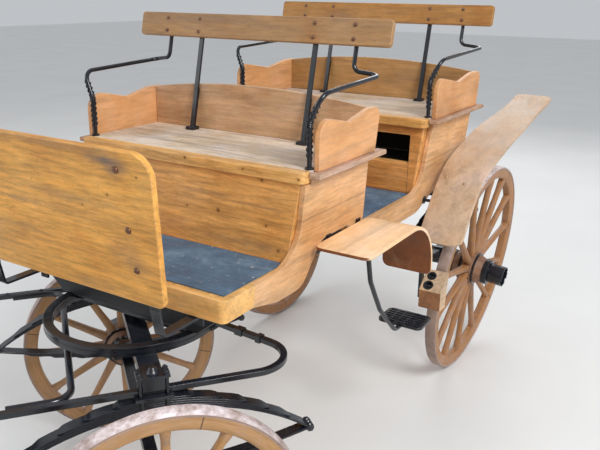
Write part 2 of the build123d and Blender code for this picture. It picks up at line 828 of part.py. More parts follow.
def leaning(seat):
    """The frame of a backrest: on the seat at the posts' front faces, Z up along them."""
    return Pos(0, seat["back"] - post_setback, seat["top"]) * Rot(X=-backrest_lean_deg)


def backrest_board(seat):
    board_piece = box((-backrest_half, backrest_half), (-backrest_thickness, 0),
                      (backrest_rise, backrest_rise + backrest_height))
    board_piece = fillet(board_piece.edges().filter_by(Axis.Y), backrest_corner)
    return leaning(seat) * board_piece


def backrest_post(seat):
    """The left post: a foot on the seat, a stout root and a flat strap behind the board."""
    x = post_spread / 2
    half = post_width / 2
    start = post_foot_thickness / 2 + post_root_thickness * sin(radians(backrest_lean_deg))
    strap = box((x - half, x + half), (0, post_thickness), (start, backrest_rise + backrest_height - backrest_corner))
    root = box((x - half, x + half), (0, post_root_thickness), (start, post_root_height))
    foot_y = seat["back"] - post_setback + post_root_thickness / 2
    foot = box((x - post_foot / 2, x + post_foot / 2), (foot_y - post_foot / 2, foot_y + post_foot / 2),
               (seat["top"], seat["top"] + post_foot_thickness))
    return leaning(seat) * (strap + root) + foot


def arm_iron(seat):
    """The left round iron from behind the backrest, forward as an arm rest and down to the seat."""
    lean = radians(backrest_lean_deg)
    offset = (arm_iron_radius + seat_gap) / cos(lean)
    root_y = seat["back"] - post_setback + offset

    def behind_board(along):
        return (arm_iron_board_x, root_y + along * sin(lean), seat["top"] + along * cos(lean))

    bow_x = seat_half(seat) + arm_iron_bow_reach
    foot_x = seat_half(seat) - arm_iron_foot_radius - fit_gap
    foot_y = seat["rail_front"] + rail_depth + arm_iron_foot_radius
    foot_z = seat["top"] + arm_iron_foot_thickness
    points = [
        behind_board(backrest_rise + backrest_height - 2 * backrest_corner),
        behind_board(backrest_rise - arm_iron_drop),
        (bow_x, seat["back"] + arm_iron_rear_reach, seat["top"] + arm_iron_rear_rise),
        (bow_x, foot_y + arm_iron_front_setback, seat["top"] + arm_iron_front_rise),
        (foot_x, foot_y, seat["top"] + arm_iron_knee),
        (foot_x, foot_y, foot_z - arm_iron_foot_thickness / 2),
    ]
    iron = round_bar(points, arm_iron_bends, arm_iron_radius)
    foot = Pos(foot_x, foot_y, seat["top"] + arm_iron_foot_thickness / 2)
    return iron + foot * Cylinder(arm_iron_foot_radius, arm_iron_foot_thickness)


# Dash board

def dash_board():
    """A wide board that stands ahead of the foot well and leans forward."""
    lean = radians(dash_lean_deg)
    face = Plane(origin=(0, dash_foot_y, dash_foot_z), x_dir=(1, 0, 0), z_dir=(0, -cos(lean), -sin(lean)))
    rows = [(-dash_foot_half, 0, dash_foot_corner), (dash_foot_half, 0, dash_foot_corner),
            (dash_top_half, dash_height, dash_corner), (-dash_top_half, dash_height, dash_corner)]
    return extrude(face * corner_face(rows), -dash_thickness)


def dash_iron():
    """The left strap: a tab on the curb, an arm forward, and a leg up the back of the dash."""
    lean = radians(dash_lean_deg)
    half = dash_iron_thickness / 2

    def before_curb(z):
        return curb_front + (curb_top - z) * tan(flare) - (half + seat_gap) / cos(flare)

    def behind_dash(z):
        return dash_foot_y - (z - dash_foot_z) * tan(lean) + (dash_thickness + half) / cos(lean)

    tab_low = curb_top - curb_height + dash_iron_tab_inset
    arm_z = curb_top - dash_iron_drop
    top = dash_foot_z + dash_iron_reach * cos(lean)
    return flat_bar([(dash_iron_x, before_curb(tab_low), tab_low), (dash_iron_x, before_curb(arm_z), arm_z),
                     (dash_iron_x, behind_dash(arm_z), arm_z), (dash_iron_x, behind_dash(top), top)],
                    [dash_iron_tab_bend, dash_iron_bend], dash_iron_width, dash_iron_thickness, level=False)


# Wings, fenders and steps

def curved_wing(line, bends, inner, outer, thickness, corner):
    """A bent board: a line in Y and Z with thickness, as wide as inner to outer."""
    middle = (inner + outer) / 2
    points = [(middle, y, z) for y, z in line]
    piece = flat_bar(points, bends, outer - inner, thickness, level=False)
    ends = piece.faces().sort_by(SortBy.AREA)[:2]
    edges = [edge for face in ends for edge in face.edges().sort_by(SortBy.LENGTH)[:2]]
    return fillet(edges, corner)


def step_wing():
    """The left wing: level beside the body, then bent down as a splash board."""
    middle_z = wing_top - wing_thickness / 2
    return curved_wing([(wing_front, middle_z), (wing_bend_y - wing_foot_lean, middle_z), (wing_bend_y, wing_foot)],
                       [wing_bend_radius], wing_inner, wing_outer, wing_thickness, wing_corner)


def wing_irons():
    """Left brackets: a leg on the side board and an arm under the wing."""
    top = wing_top - wing_thickness
    low = top - wing_iron_thickness
    leg_top = arch_bottom + wing_iron_leg
    arm_end = wing_outer - wing_iron_inset
    near = [(side_x(z) + seat_gap, z) for z in (leg_top, low)]
    far = [(arm_end, low), (arm_end, top), (side_x(top) + seat_gap + wing_iron_thickness, top),
           (side_x(leg_top) + seat_gap + wing_iron_thickness, leg_top)]
    bracket = extrude(crosswise * make_face(Polyline(*near, *far, close=True)), wing_iron_width / 2, both=True)
    return [Pos(0, y, 0) * bracket for y in wing_iron_y]


def rear_fender():
    return curved_wing(fender_line, fender_bends, fender_inner, fender_outer, fender_thickness, fender_corner)


def under_fender(y, drop):
    """The (y, z) of a point the given distance square below the fender's middle line."""
    for (y_low, z_low), (y_high, z_high) in zip(fender_line, fender_line[1:]):
        if y_low <= y <= y_high:
            slope = atan2(z_high - z_low, y_high - y_low)
            return y + drop * sin(slope), z_low + (y - y_low) * tan(slope) - drop * cos(slope)


def fender_irons():
    """Left irons: pins with flanges on the side board, and a stay from the rail's end."""
    drop = fender_thickness / 2 + fender_iron_radius + seat_gap
    end_x = fender_outer - fender_iron_inset
    irons = []
    for station in fender_iron_y:
        y, z = under_fender(station, drop)
        start = side_x(z) + fender_flange_thickness / 2
        pin = Pos((start + end_x) / 2, y, z) * Rot(Y=90) * Cylinder(fender_iron_radius, end_x - start)
        flange_x = side_x(z) + seat_gap + fender_flange_thickness / 2
        flange = Pos(flange_x, y, z) * Rot(Y=90 + flare_deg) * Cylinder(fender_flange_radius, fender_flange_thickness)
        irons.append(pin + flange)
    stay_y, stay_z = under_fender(fender_stay_y, drop)
    rail_x = rail_spread / 2
    rail_z = (underframe_top + underframe_bottom) / 2
    plate = box((rail_x - rail_bar_width / 2, rail_x + rail_bar_width / 2),
                (body_back, body_back + fender_flange_thickness), (underframe_bottom, underframe_top))
    stay = round_bar([(rail_x, body_back + fender_flange_thickness / 2, rail_z),
                      (rail_x, body_back + fender_stay_reach, rail_z),
                      (fender_inner + fender_stay_inset, stay_y, stay_z), (end_x, stay_y, stay_z)],
                     fender_stay_bends, fender_iron_radius)
    return irons + [plate + stay]


def step():
    """The left step: a bent iron from under the wing, and a plate on its end."""
    top = wing_top - wing_thickness
    foot = box((step_x - step_iron_foot / 2, step_x + step_iron_foot / 2),
               (step_iron_y - step_iron_foot / 2, step_iron_y + step_iron_foot / 2),
               (top - step_iron_foot_thickness, top))
    plate_low = step_top - step_plate_thickness
    run_z = plate_low - step_iron_seat * step_iron_radius
    elbows = [(step_x, step_iron_y + back, z) for back, z in step_iron_elbows]
    iron = round_bar([(step_x, step_iron_y, top - step_iron_foot_thickness / 2), *elbows,
                      (step_x, step_y - step_plate_length / 2, run_z),
                      (step_x, step_y + step_plate_length / 3, run_z)],
                     [step_iron_bend] * 3, step_iron_radius)
    plate = box((step_x - step_plate_length / 2, step_x + step_plate_length / 2),
                (step_y - step_plate_width / 2, step_y + step_plate_width / 2), (plate_low, step_top))
    plate = fillet(plate.edges().filter_by(Axis.Z), 2 * step_plate_thickness)
    return foot + iron + plate


# The whole carriage

def every_seat(make):
    return [make(seat) for seat in seats.values()]


def arms_of(make):
    return [piece for seat in seats.values() for piece in both_sides(make(seat))]


carriage = {
    "floor_boards": floor_boards(),
    "floor_mats": floor_mats(),
    "front_curb": [front_curb()],
    "side_board_left": [side_board()],
    "side_board_right": [mirrored(side_board())],
    "front_seat_box": front_seat_box(),
    "rear_seat_box": rear_seat_box(),
    "seat_boards": every_seat(seat_boards),
    "seat_rails": every_seat(seat_rail),
    "arm_panels": arms_of(arm_panel),
    "arm_ledges": arms_of(arm_ledge),
    "low_backs": every_seat(low_back),
    "backrest_boards": every_seat(backrest_board),
    "backrest_posts": arms_of(backrest_post),
    "arm_irons": arms_of(arm_iron),
    "dash_board": [dash_board()],
    "dash_irons": both_sides(dash_iron()),
    "step_wings": both_sides(step_wing()),
    "wing_irons": both_sides(wing_irons()),
    "steps": both_sides(step()),
    "rear_fenders": both_sides(rear_fender()),
    "fender_irons": both_sides(fender_irons()),
    "underframe": [underframe()],
    "turntable_ring": [turntable_ring()],
    "rear_axle": [rear_axle],
    "rear_springs": both_sides(rear_spring),
    "rear_spring_bar": [rear_spring_bar()],
    "brake_gear": [brake_gear()],
    "brake_blocks": both_sides(brake_block()),
}
carriage |= wheel_pair("rear", wheelbase, rear_wheel_radius, rear_camber_deg, rear_spoke_count)

front_gear = {
    "front_axle": [front_axle],
    "front_springs": both_sides(front_spring),
    "futchell_bars": both_sides(futchell()),
    "turntable_bolster": [turntable_bolster()],
    "hoop_stay": [hoop_stay()],
    "splinter_bar": [splinter_bar()],
    "pole_socket": [pole_socket()],
}
front_gear |= wheel_pair("front", 0, front_wheel_radius, front_camber_deg, front_spoke_count)

os.makedirs("parts", exist_ok=True)
to_origin = Pos(0, -origin_behind_kingpin, 0)
places = [(carriage, to_origin), (front_gear, to_origin * Rot(Z=gear_turn_deg))]
for nodes, place in places:
    for name, pieces in nodes.items():
        solids = [solid for piece in pieces for solid in (place * piece).solids()]
        export_step(Compound(children=solids), f"parts/{name}.step")
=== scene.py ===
"""The look of an open horse drawn carriage: varnished wood body, wooden wheels, black ironwork."""

import json
import math

import bmesh
import bpy
from mathutils import Matrix, Vector, noise

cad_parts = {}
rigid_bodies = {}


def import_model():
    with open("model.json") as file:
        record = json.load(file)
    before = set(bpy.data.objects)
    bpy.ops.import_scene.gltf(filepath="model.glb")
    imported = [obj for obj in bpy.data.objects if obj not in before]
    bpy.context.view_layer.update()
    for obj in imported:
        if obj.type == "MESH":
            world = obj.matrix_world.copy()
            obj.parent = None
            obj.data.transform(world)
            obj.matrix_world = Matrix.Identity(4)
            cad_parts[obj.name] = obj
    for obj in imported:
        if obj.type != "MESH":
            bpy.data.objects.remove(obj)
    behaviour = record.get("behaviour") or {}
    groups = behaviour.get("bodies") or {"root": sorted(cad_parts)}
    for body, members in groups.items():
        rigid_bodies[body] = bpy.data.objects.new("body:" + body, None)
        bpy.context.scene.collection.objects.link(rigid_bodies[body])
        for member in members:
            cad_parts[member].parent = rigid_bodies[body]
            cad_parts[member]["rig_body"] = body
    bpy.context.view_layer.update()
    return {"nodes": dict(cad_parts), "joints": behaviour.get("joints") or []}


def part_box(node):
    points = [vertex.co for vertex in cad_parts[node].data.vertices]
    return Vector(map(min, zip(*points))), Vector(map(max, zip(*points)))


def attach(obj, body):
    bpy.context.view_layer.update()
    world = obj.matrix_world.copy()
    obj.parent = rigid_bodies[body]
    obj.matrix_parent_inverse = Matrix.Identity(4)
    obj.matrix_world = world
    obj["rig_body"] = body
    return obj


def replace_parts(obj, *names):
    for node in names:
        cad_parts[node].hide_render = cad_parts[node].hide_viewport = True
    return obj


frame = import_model()
nodes = frame["nodes"]
joints = {joint["name"]: joint for joint in frame["joints"]}
SIDES = (-1, 1)


# Materials

class Graph:
    """A few short words for building a material's node tree, layer on layer of paint."""

    def __init__(self, name):
        self.material = bpy.data.materials.new(name)
        self.material.use_nodes = True
        self.tree = self.material.node_tree
        self.shader = self.tree.nodes["Principled BSDF"]
        self.coordinates = self.node("ShaderNodeTexCoord").outputs["Object"]
        self.paint = None

    def feed(self, socket, value):
        """Links a socket to another one, or sets its value."""
        if isinstance(value, bpy.types.NodeSocket):
            self.tree.links.new(value, socket)
        else:
            socket.default_value = value

    def node(self, kind, inputs=None, **settings):
        made = self.tree.nodes.new(kind)
        for key, value in settings.items():
            setattr(made, key, value)
        for key, value in (inputs or {}).items():
            self.feed(made.inputs[key], value)
        return made

    def stretched(self, scale, source=None):
        inputs = {"Vector": source or self.coordinates, "Scale": scale}
        return self.node("ShaderNodeMapping", inputs).outputs[0]

    def noise(self, vector, scale, detail=5, roughness=0.6, distortion=0.0):
        inputs = {"Vector": vector, "Scale": scale, "Detail": detail, "Roughness": roughness,
                  "Distortion": distortion}
        return self.node("ShaderNodeTexNoise", inputs).outputs["Fac"]

    def ramp(self, value, *stops):
        """Turns a value into a grey or a colour, by stops of a position and a grey or a colour."""
        made = self.node("ShaderNodeValToRGB", {"Fac": value})
        elements = made.color_ramp.elements
        while len(elements) < len(stops):
            elements.new(0.5)
        for element, (position, colour) in zip(elements, stops):
            element.position = position
            element.color = (*colour, 1) if isinstance(colour, tuple) else (colour, colour, colour, 1)
        return made.outputs[0]

    def mix(self, amount, first, second, blend="MIX"):
        first, second = ((*value, 1) if isinstance(value, tuple) else value for value in (first, second))
        inputs = {0: amount, 6: first, 7: second}
        return self.node("ShaderNodeMix", inputs, data_type="RGBA", blend_type=blend).outputs[2]

    def lay(self, amount, colour, blend="MIX"):
        """Puts a colour over the layers so far."""
        self.paint = self.mix(amount, self.paint, colour, blend)

    def maths(self, operation, *values):
        return self.node("ShaderNodeMath", dict(enumerate(values)), operation=operation).outputs[0]

    def times(self, first, second):
        return self.maths("MULTIPLY", first, second)

    def plus(self, first, second):
        return self.maths("ADD", first, second)

    def minus(self, first, second):
        return self.maths("SUBTRACT", first, second)

    def dot(self, first, second):
        made = self.node("ShaderNodeVectorMath", {0: first, 1: second}, operation="DOT_PRODUCT")
        return made.outputs["Value"]

    def part(self, vector, axis):
        return self.node("ShaderNodeSeparateXYZ", {"Vector": vector}).outputs[axis]

    def geometry(self, output):
        return self.node("ShaderNodeNewGeometry").outputs[output]

    def edges(self, reach, amount):
        """0 on flat faces, rising raggedly to an amount close to the piece's own edges."""
        flat = self.geometry("True Normal")
        rounded = self.node("ShaderNodeBevel", {"Radius": reach}, samples=4).outputs[0]
        close = self.ramp(self.minus(1.0, self.dot(rounded, flat)), (0.04, 0.0), (0.16, amount))
        ragged = self.ramp(self.noise(self.coordinates, 16.0, 6, 0.7), (0.38, 0.30), (0.60, 1.0))
        return self.times(close, ragged)

    def near(self, place, reach, ragged, inner=0.3):
        """1 at a place, fading to 0 at its reach along X, Y and Z, with a ragged rim."""
        scale = [1 / value for value in reach]
        shift = [-value * share for value, share in zip(place, scale)]
        inputs = {"Vector": self.coordinates, "Scale": scale, "Location": shift}
        local = self.node("ShaderNodeMapping", inputs).outputs[0]
        distance = self.node("ShaderNodeVectorMath", {0: local}, operation="LENGTH").outputs["Value"]
        rim = self.noise(self.coordinates, 0.35 / min(reach), 5, 0.65)
        distance = self.plus(distance, self.times(self.minus(rim, 0.5), 2 * ragged))
        return self.ramp(distance, (inner, 1.0), (1.0, 0.0))

    def finished(self, roughness, height, strength, distance):
        """The material, with its layers of paint, its roughness and its fine relief."""
        relief = self.node("ShaderNodeBump", {"Height": height, "Strength": strength, "Distance": distance})
        self.feed(self.shader.inputs["Base Color"], self.paint)
        self.feed(self.shader.inputs["Roughness"], roughness)
        self.feed(self.shader.inputs["Normal"], relief.outputs[0])
        return self.material


def shade(tone, share, red=1.0, blue=1.0):
    """A tone made darker or lighter, and warmer or cooler."""
    return tuple(min(1.0, share * value * tint) for value, tint in zip(tone, (red, 1.0, blue)))


def lengthwise(axis, along, across):
    """X, Y and Z values with one along an axis and another across it."""
    return [along if name == axis else across for name in "xyz"]


# Tones in linear light
KNOT = (0.150, 0.055, 0.018)
STAIN = (0.165, 0.120, 0.095)
WORN_AND_LIT_EDGE = (0.62, 0.50, 0.40)
RUST = (0.20, 0.085, 0.035)
ORANGE = (0.870, 0.415, 0.080)
RAIL = (0.820, 0.440, 0.135)
PANEL = (0.920, 0.450, 0.125)
PALE = (0.840, 0.470, 0.215)
CURB = (0.90, 0.50, 0.16)
PEACH = (0.720, 0.365, 0.155)
FRAME = (0.720, 0.310, 0.080)
REAR_LOW_BACK = (0.450, 0.238, 0.082)
WING = (0.900, 0.600, 0.330)
# Painted shade on the wing's faces turned under, over their unvarnished brown
SHADED_UNDER_WING = (0.220, 0.068, 0.018)
FENDER = (0.600, 0.420, 0.280)
BACKREST = (0.400, 0.220, 0.090)
REAR_BACKREST = (0.450, 0.210, 0.052)
LOW_BACK = (0.610, 0.370, 0.200)
PLANK = (0.820, 0.665, 0.510)
LEDGE = (0.560, 0.350, 0.230)
NAVE = (0.300, 0.160, 0.095)
WHEEL = {"front": (0.470, 0.255, 0.100), "rear": (0.410, 0.190, 0.066)}
BLOCK = (0.680, 0.470, 0.280)
# Painted shade on the brake blocks' faces turned forward and down
SHADED_BLOCK_FRONT = (0.330, 0.140, 0.055)
# Near black, as painted shade inside the open locker
SHADE = (0.006, 0.004, 0.003)

VARNISH_LIFT = (1.16, 1.16, 1.16)
DEEPER = (0.86, 0.70, 0.52)
PALER = (1.10, 1.18, 1.45)
# Faces turned this way take a darker tone as painted shade
TURNED_UNDER = (0, -0.6, -0.8)
SEAM_WIDTH = 0.0022
WOOD_EDGE = 0.0045
IRON_EDGE = 0.0025
WHEEL_EDGE = 0.003


def wood(name, axis, tone, weather=0.22, grey=(0.33, 0.23, 0.16), gloss=0.34, streaks=0.70, rim=0.55,
         knots=(), stains=(), seams=None, behind=None, under=None):
    """Board with grain along an axis, clouded varnish, worn places, knots, stains and seams between boards.

    Behind a place in Y it can have another tone, and faces turned under get a darker tone as painted shade.
    """
    graph = Graph(name)

    def grain(stretch, *settings):
        return graph.noise(graph.stretched(lengthwise(axis, stretch, 9 * stretch)), *settings)

    base = tone
    if behind:
        limit, other = behind
        base = graph.mix(graph.maths("GREATER_THAN", graph.part(graph.coordinates, "Y"), limit), tone, other)
    # Faces turned down and forward get a darker tone: painted shade.
    if under:
        turned = graph.dot(graph.geometry("Normal"), TURNED_UNDER)
        base = graph.mix(graph.ramp(turned, (0.30, 0.0), (0.50, 1.0)), tone, under)
    broad = grain(1.0, 1.9, 5, 0.55, 0.8)
    bands = graph.ramp(broad, (0.30, 0.64), (0.50, 0.85), (0.70, 1.0))
    graph.paint = graph.mix(1.0, base, bands, "MULTIPLY")
    graph.lay(1.0, VARNISH_LIFT, "MULTIPLY")

    clouds = graph.noise(graph.coordinates, 4.5, 6, 0.62)
    deeper, paler = (graph.mix(1.0, graph.paint, tint, "MULTIPLY") for tint in (DEEPER, PALER))
    graph.lay(graph.ramp(clouds, (0.50, 0.0), (0.66, 0.75)), deeper)
    graph.lay(graph.ramp(clouds, (0.34, 0.70), (0.48, 0.0)), paler)
    fine = grain(9.0, 1.1, 8, 0.75, 0.35)
    graph.lay(streaks, graph.ramp(fine, (0.36, 0.50), (0.58, 1.0)), "MULTIPLY")
    figure = grain(3.2, 1.4, 6, 0.68, 1.2)
    graph.lay(0.85 * streaks, graph.ramp(figure, (0.36, 0.66), (0.52, 1.0)), "MULTIPLY")
    flecks = graph.noise(graph.coordinates, 70.0, 6, 0.75, 0.8)
    graph.lay(graph.ramp(flecks, (0.58, 0.0), (0.68, 0.85 * streaks)), shade(tone, 0.38))
    worn = grain(0.6, 1.9, 9, 0.70, 0.5)
    patches = graph.ramp(worn, (0.62 - 0.22 * weather, 0.0), (0.78 - 0.18 * weather, weather))
    graph.lay(patches, grey)

    grained = graph.ramp(figure, (0.36, 1.0), (0.58, 0.45))
    for place, reach, strength in stains:
        stain = graph.times(graph.near(place, reach, 0.75, 0.15), grained)
        graph.lay(graph.times(stain, strength), STAIN)
    for place, size in knots:
        halo = lengthwise(axis, 3.2 * size, 1.5 * size)
        graph.lay(graph.times(graph.near(place, halo, 0.5), 0.45), shade(tone, 0.55, 1.1, 0.7))
        graph.lay(graph.times(graph.near(place, (size, size, size), 0.3), 0.85), KNOT)
    # Pale edges: partly worn varnish, partly a painted highlight.
    graph.lay(graph.edges(WOOD_EDGE, rim), WORN_AND_LIT_EDGE)

    height = fine
    if seams:
        across, pitch, start, depth = seams
        count = graph.maths("DIVIDE", graph.minus(graph.part(graph.coordinates, across), start), pitch)
        number = graph.maths("FLOOR", count)
        board = graph.node("ShaderNodeTexWhiteNoise", {"W": number}, noise_dimensions="1D")
        graph.lay(0.55, graph.ramp(board.outputs["Value"], (0.0, 0.72), (1.0, 1.0)), "MULTIPLY")
        off_middle = graph.maths("ABSOLUTE", graph.minus(graph.maths("FRACT", count), 0.5))
        half = SEAM_WIDTH / pitch
        seam = graph.ramp(off_middle, (0.5 - 2.2 * half, 0.0), (0.5 - half, depth))
        graph.lay(seam, shade(tone, 0.10))
        height = graph.minus(fine, graph.times(seam, 1.8))
    graph.shader.inputs["Specular IOR Level"].default_value = 0.42
    rough = graph.plus(broad, graph.times(patches, 0.6))
    return graph.finished(graph.ramp(rough, (0.3, gloss), (0.9, min(1.0, gloss + 0.40))),
                          graph.plus(height, graph.times(flecks, 0.35)), 0.30, 0.0011)


def iron(name, paint, dust_and_sky_light, rust, gloss, dust_and_sky_light_amount, metallic=0.0, rim=0.5):
    """Painted ironwork, dusty and with a painted sky highlight on what looks up, with edges partly worn and
    partly a painted highlight, and specks of rust.
    """
    graph = Graph(name)
    cloud = graph.noise(graph.coordinates, 9.0, 7, 0.65)
    graph.paint = graph.ramp(cloud, (0.35, shade(paint, 0.6)), (0.65, paint))
    # Faces turned up grow paler: partly dusty, partly painted sky light.
    upward = graph.ramp(graph.part(graph.geometry("Normal"), "Z"), (0.25, 0.0), (0.95, dust_and_sky_light_amount))
    scattered = graph.ramp(graph.noise(graph.coordinates, 22.0, 7, 0.75), (0.38, 0.15), (0.62, 1.0))
    graph.lay(graph.times(upward, scattered), dust_and_sky_light)
    specks = graph.noise(graph.coordinates, 85.0, 8, 0.75)
    graph.lay(graph.ramp(specks, (0.64 - 0.3 * rust, 0.0), (0.70, min(1.0, 3 * rust))), RUST)
    # Pale edges: partly worn paint, partly a painted highlight.
    graph.lay(graph.edges(IRON_EDGE, rim), tuple(1.2 * value + 0.06 for value in dust_and_sky_light))
    graph.shader.inputs["Metallic"].default_value = metallic
    graph.shader.inputs["Specular IOR Level"].default_value = 0.6
    return graph.finished(graph.ramp(cloud, (0.3, gloss), (0.7, gloss + 0.16)),
                          graph.noise(graph.coordinates, 150.0, 6, 0.6), 0.22, 0.0006)


def floor_rubber():
    """Blue grey rubber, clouded, with pale specks and scuffs."""
    graph = Graph("floor_rubber")
    cloud = graph.noise(graph.coordinates, 6.0, 7, 0.68)
    graph.paint = graph.ramp(cloud, (0.32, (0.040, 0.085, 0.145)), (0.52, (0.075, 0.145, 0.225)),
                             (0.70, (0.17, 0.26, 0.35)))
    specks = graph.noise(graph.coordinates, 60.0, 4, 0.62)
    graph.lay(graph.ramp(specks, (0.64, 0.0), (0.69, 0.85)), (0.50, 0.46, 0.38))
    scuffs = graph.noise(graph.stretched((3.0, 30.0, 30.0)), 1.8, 8, 0.7, 0.4)
    graph.lay(graph.ramp(scuffs, (0.54, 0.0), (0.68, 0.40)), (0.24, 0.30, 0.36))
    return graph.finished(graph.ramp(cloud, (0.3, 0.42), (0.7, 0.72)),
                          graph.noise(graph.coordinates, 240.0, 4, 0.6), 0.35, 0.0006)


# Knots as a place and a size, stains as a place, a reach and a strength
box_knots = (
    ((0.163, -0.632, 1.130), 0.011), ((0.024, -0.633, 1.125), 0.006), ((0.365, -0.635, 1.111), 0.007),
    ((0.420, -0.645, 1.037), 0.009), ((0.336, -0.615, 1.258), 0.008), ((-0.210, -0.630, 1.190), 0.010),
    ((-0.330, -0.640, 1.060), 0.008))
box_stains = (
    ((0.300, -0.640, 1.040), (0.26, 0.10, 0.018), 0.55), ((0.110, -0.625, 1.185), (0.16, 0.10, 0.012), 0.40),
    ((0.330, -0.625, 1.170), (0.20, 0.10, 0.010), 0.35))
rail_knots = (
    ((0.017, -0.627, 1.295), 0.008), ((0.267, -0.627, 1.289), 0.006), ((0.485, -0.626, 1.283), 0.007))
dash_knots = (
    ((0.287, -1.238, 1.346), 0.006), ((0.406, -1.250, 1.411), 0.005), ((0.180, -1.232, 1.300), 0.005))
dash_stains = (
    ((0.312, -1.255, 1.443), (0.085, 0.10, 0.034), 0.95),
    ((0.335, -1.252, 1.424), (0.040, 0.10, 0.030), 0.80),
    ((0.300, -1.212, 1.190), (0.075, 0.10, 0.060), 0.75),
    ((0.345, -1.205, 1.150), (0.050, 0.10, 0.050), 0.60),
    ((-0.110, -1.225, 1.273), (0.130, 0.10, 0.011), 0.95),
    ((0.090, -1.257, 1.462), (0.300, 0.10, 0.012), 0.55),
    ((-0.250, -1.250, 1.440), (0.150, 0.10, 0.060), 0.45),
    ((0.130, -1.190, 1.050), (0.120, 0.10, 0.030), 0.35),
    ((-0.300, -1.205, 1.150), (0.110, 0.10, 0.060), 0.40))
BETWEEN_SEATS = 0.3

floor_wood = wood("varnished_wood_y", "y", RAIL)
rail_wood = wood("rail_wood", "x", RAIL, knots=rail_knots)
box_wood = wood("box_boards", "x", PANEL, 0.25, knots=box_knots, stains=box_stains,
                seams=("Z", 0.118, 0.998, 0.15))
dash_wood = wood("dash_wood", "x", ORANGE, 0.30, (0.34, 0.24, 0.15), rim=0.9, knots=dash_knots,
                 stains=dash_stains)
plank_wood = wood("seat_planks", "x", PLANK, 0.5, (0.42, 0.35, 0.30), 0.55, seams=("Y", 0.122, -0.60, 0.35))
ledge_wood = wood("ledge_wood", "y", LEDGE, 0.5, (0.45, 0.36, 0.33), 0.55, rim=0.8)
side_wood = wood("side_wood", "y", PALE, 0.22, (0.45, 0.32, 0.22), streaks=0.5, rim=0.8,
                 seams=("Z", 0.283, 1.143, 0.30))
curb_wood = wood("curb_wood", "x", CURB, 0.22, (0.50, 0.38, 0.26), streaks=0.5, rim=0.9)
arm_wood = wood("arm_wood", "y", PEACH, 0.22, (0.45, 0.32, 0.22), streaks=0.28, rim=0.9)
wing_wood = wood("wing_wood", "y", WING, 0.22, (0.52, 0.40, 0.28), streaks=0.25, rim=0.8, under=SHADED_UNDER_WING)
fender_wood = wood("fender_wood", "y", FENDER, 0.35, (0.42, 0.32, 0.26), 0.40, streaks=0.30, rim=0.9)
frame_wood = wood("frame_wood", "x", FRAME)
backrest_wood = wood("backrest_wood", "x", BACKREST, 0.45, (0.26, 0.19, 0.14), 0.42, streaks=0.5,
                     behind=(BETWEEN_SEATS, REAR_BACKREST))
low_back_wood = wood("low_back_wood", "x", LOW_BACK, 0.35, (0.34, 0.24, 0.19), 0.42, streaks=0.45,
                     behind=(BETWEEN_SEATS, REAR_LOW_BACK))
block_wood = wood("block_wood", "y", BLOCK, 0.35, (0.38, 0.30, 0.22), 0.5, rim=0.9, under=SHADED_BLOCK_FRONT)
# Locker boards in near black: painted shade
shade_wood = wood("locker_shade_wood", "x", SHADE, 0.1, SHADE, 0.8)
nave_wood = wood("nave_wood", "x", NAVE, 0.4)
dark_paint = iron("dark_painted_wood", (0.010, 0.011, 0.015), (0.07, 0.08, 0.10), 0.04, 0.40, 0.2)
black_iron = iron("black_iron", (0.005, 0.007, 0.012), (0.09, 0.115, 0.165), 0.04, 0.15, 0.12, rim=0.25)
# The tyre's pale top is painted sky light over rusty brown; its sides keep the brown.
tyre_iron = iron("tyre_iron", (0.370, 0.245, 0.190), (0.95, 0.86, 0.90), 0.15, 0.50, 1.0)
bolt_iron = iron("bolt_iron", (0.180, 0.080, 0.038), (0.42, 0.26, 0.16), 0.20, 0.22, 0.5, metallic=0.5)
brass = iron("brass", (0.560, 0.400, 0.190), (0.75, 0.62, 0.40), 0.05, 0.28, 0.4, metallic=0.7)

PAINT = {
    "floor_boards": floor_wood, "floor_mats": floor_rubber(), "front_curb": curb_wood,
    "side_board_left": side_wood, "side_board_right": side_wood,
    "front_seat_box": box_wood, "rear_seat_box": box_wood, "seat_boards": plank_wood,
    "seat_rails": rail_wood, "arm_panels": arm_wood, "arm_ledges": ledge_wood,
    "low_backs": low_back_wood, "backrest_boards": backrest_wood, "dash_board": dash_wood,
    "step_wings": wing_wood, "rear_fenders": fender_wood, "brake_blocks": block_wood,
    "underframe": dark_paint, "rear_spring_bar": dark_paint, "splinter_bar": dark_paint,
}


# Building pieces

def new_object(name, mesh, material, body, matrix=Matrix.Identity(4)):
    piece = bpy.data.objects.new(name, mesh)
    bpy.context.scene.collection.objects.link(piece)
    piece.matrix_world = matrix
    mesh.materials.clear()
    mesh.materials.append(material)
    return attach(piece, body)


def body_of(node):
    return nodes[node]["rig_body"]


def finish_mesh(work, name):
    bmesh.ops.recalc_face_normals(work, faces=work.faces)
    mesh = bpy.data.meshes.new(name)
    work.to_mesh(mesh)
    work.free()
    mesh.shade_smooth()
    mesh.set_sharp_from_angle(angle=math.radians(38))
    return mesh


def joined(name, work, material, body="carriage"):
    return new_object(name, finish_mesh(work, name), material, body)


def round_edges(piece, width, degrees, harden=True):
    """Rounds the edges that turn by more than an angle."""
    bevel = piece.modifiers.new("edges", "BEVEL")
    bevel.width = width
    bevel.segments = 2
    bevel.limit_method = "ANGLE"
    bevel.angle_limit = math.radians(degrees)
    bevel.harden_normals = harden


def angles(count):
    return [2 * math.pi * index / count for index in range(count)]


def facing(direction):
    """A turn that lays Z along a direction."""
    return Vector(direction).normalized().to_track_quat("Z", "Y").to_matrix()


def circle(place, turn, radius, sides):
    """Points round a place, in a turned plane."""
    return [place + turn @ Vector((radius * math.cos(angle), radius * math.sin(angle), 0))
            for angle in angles(sides)]


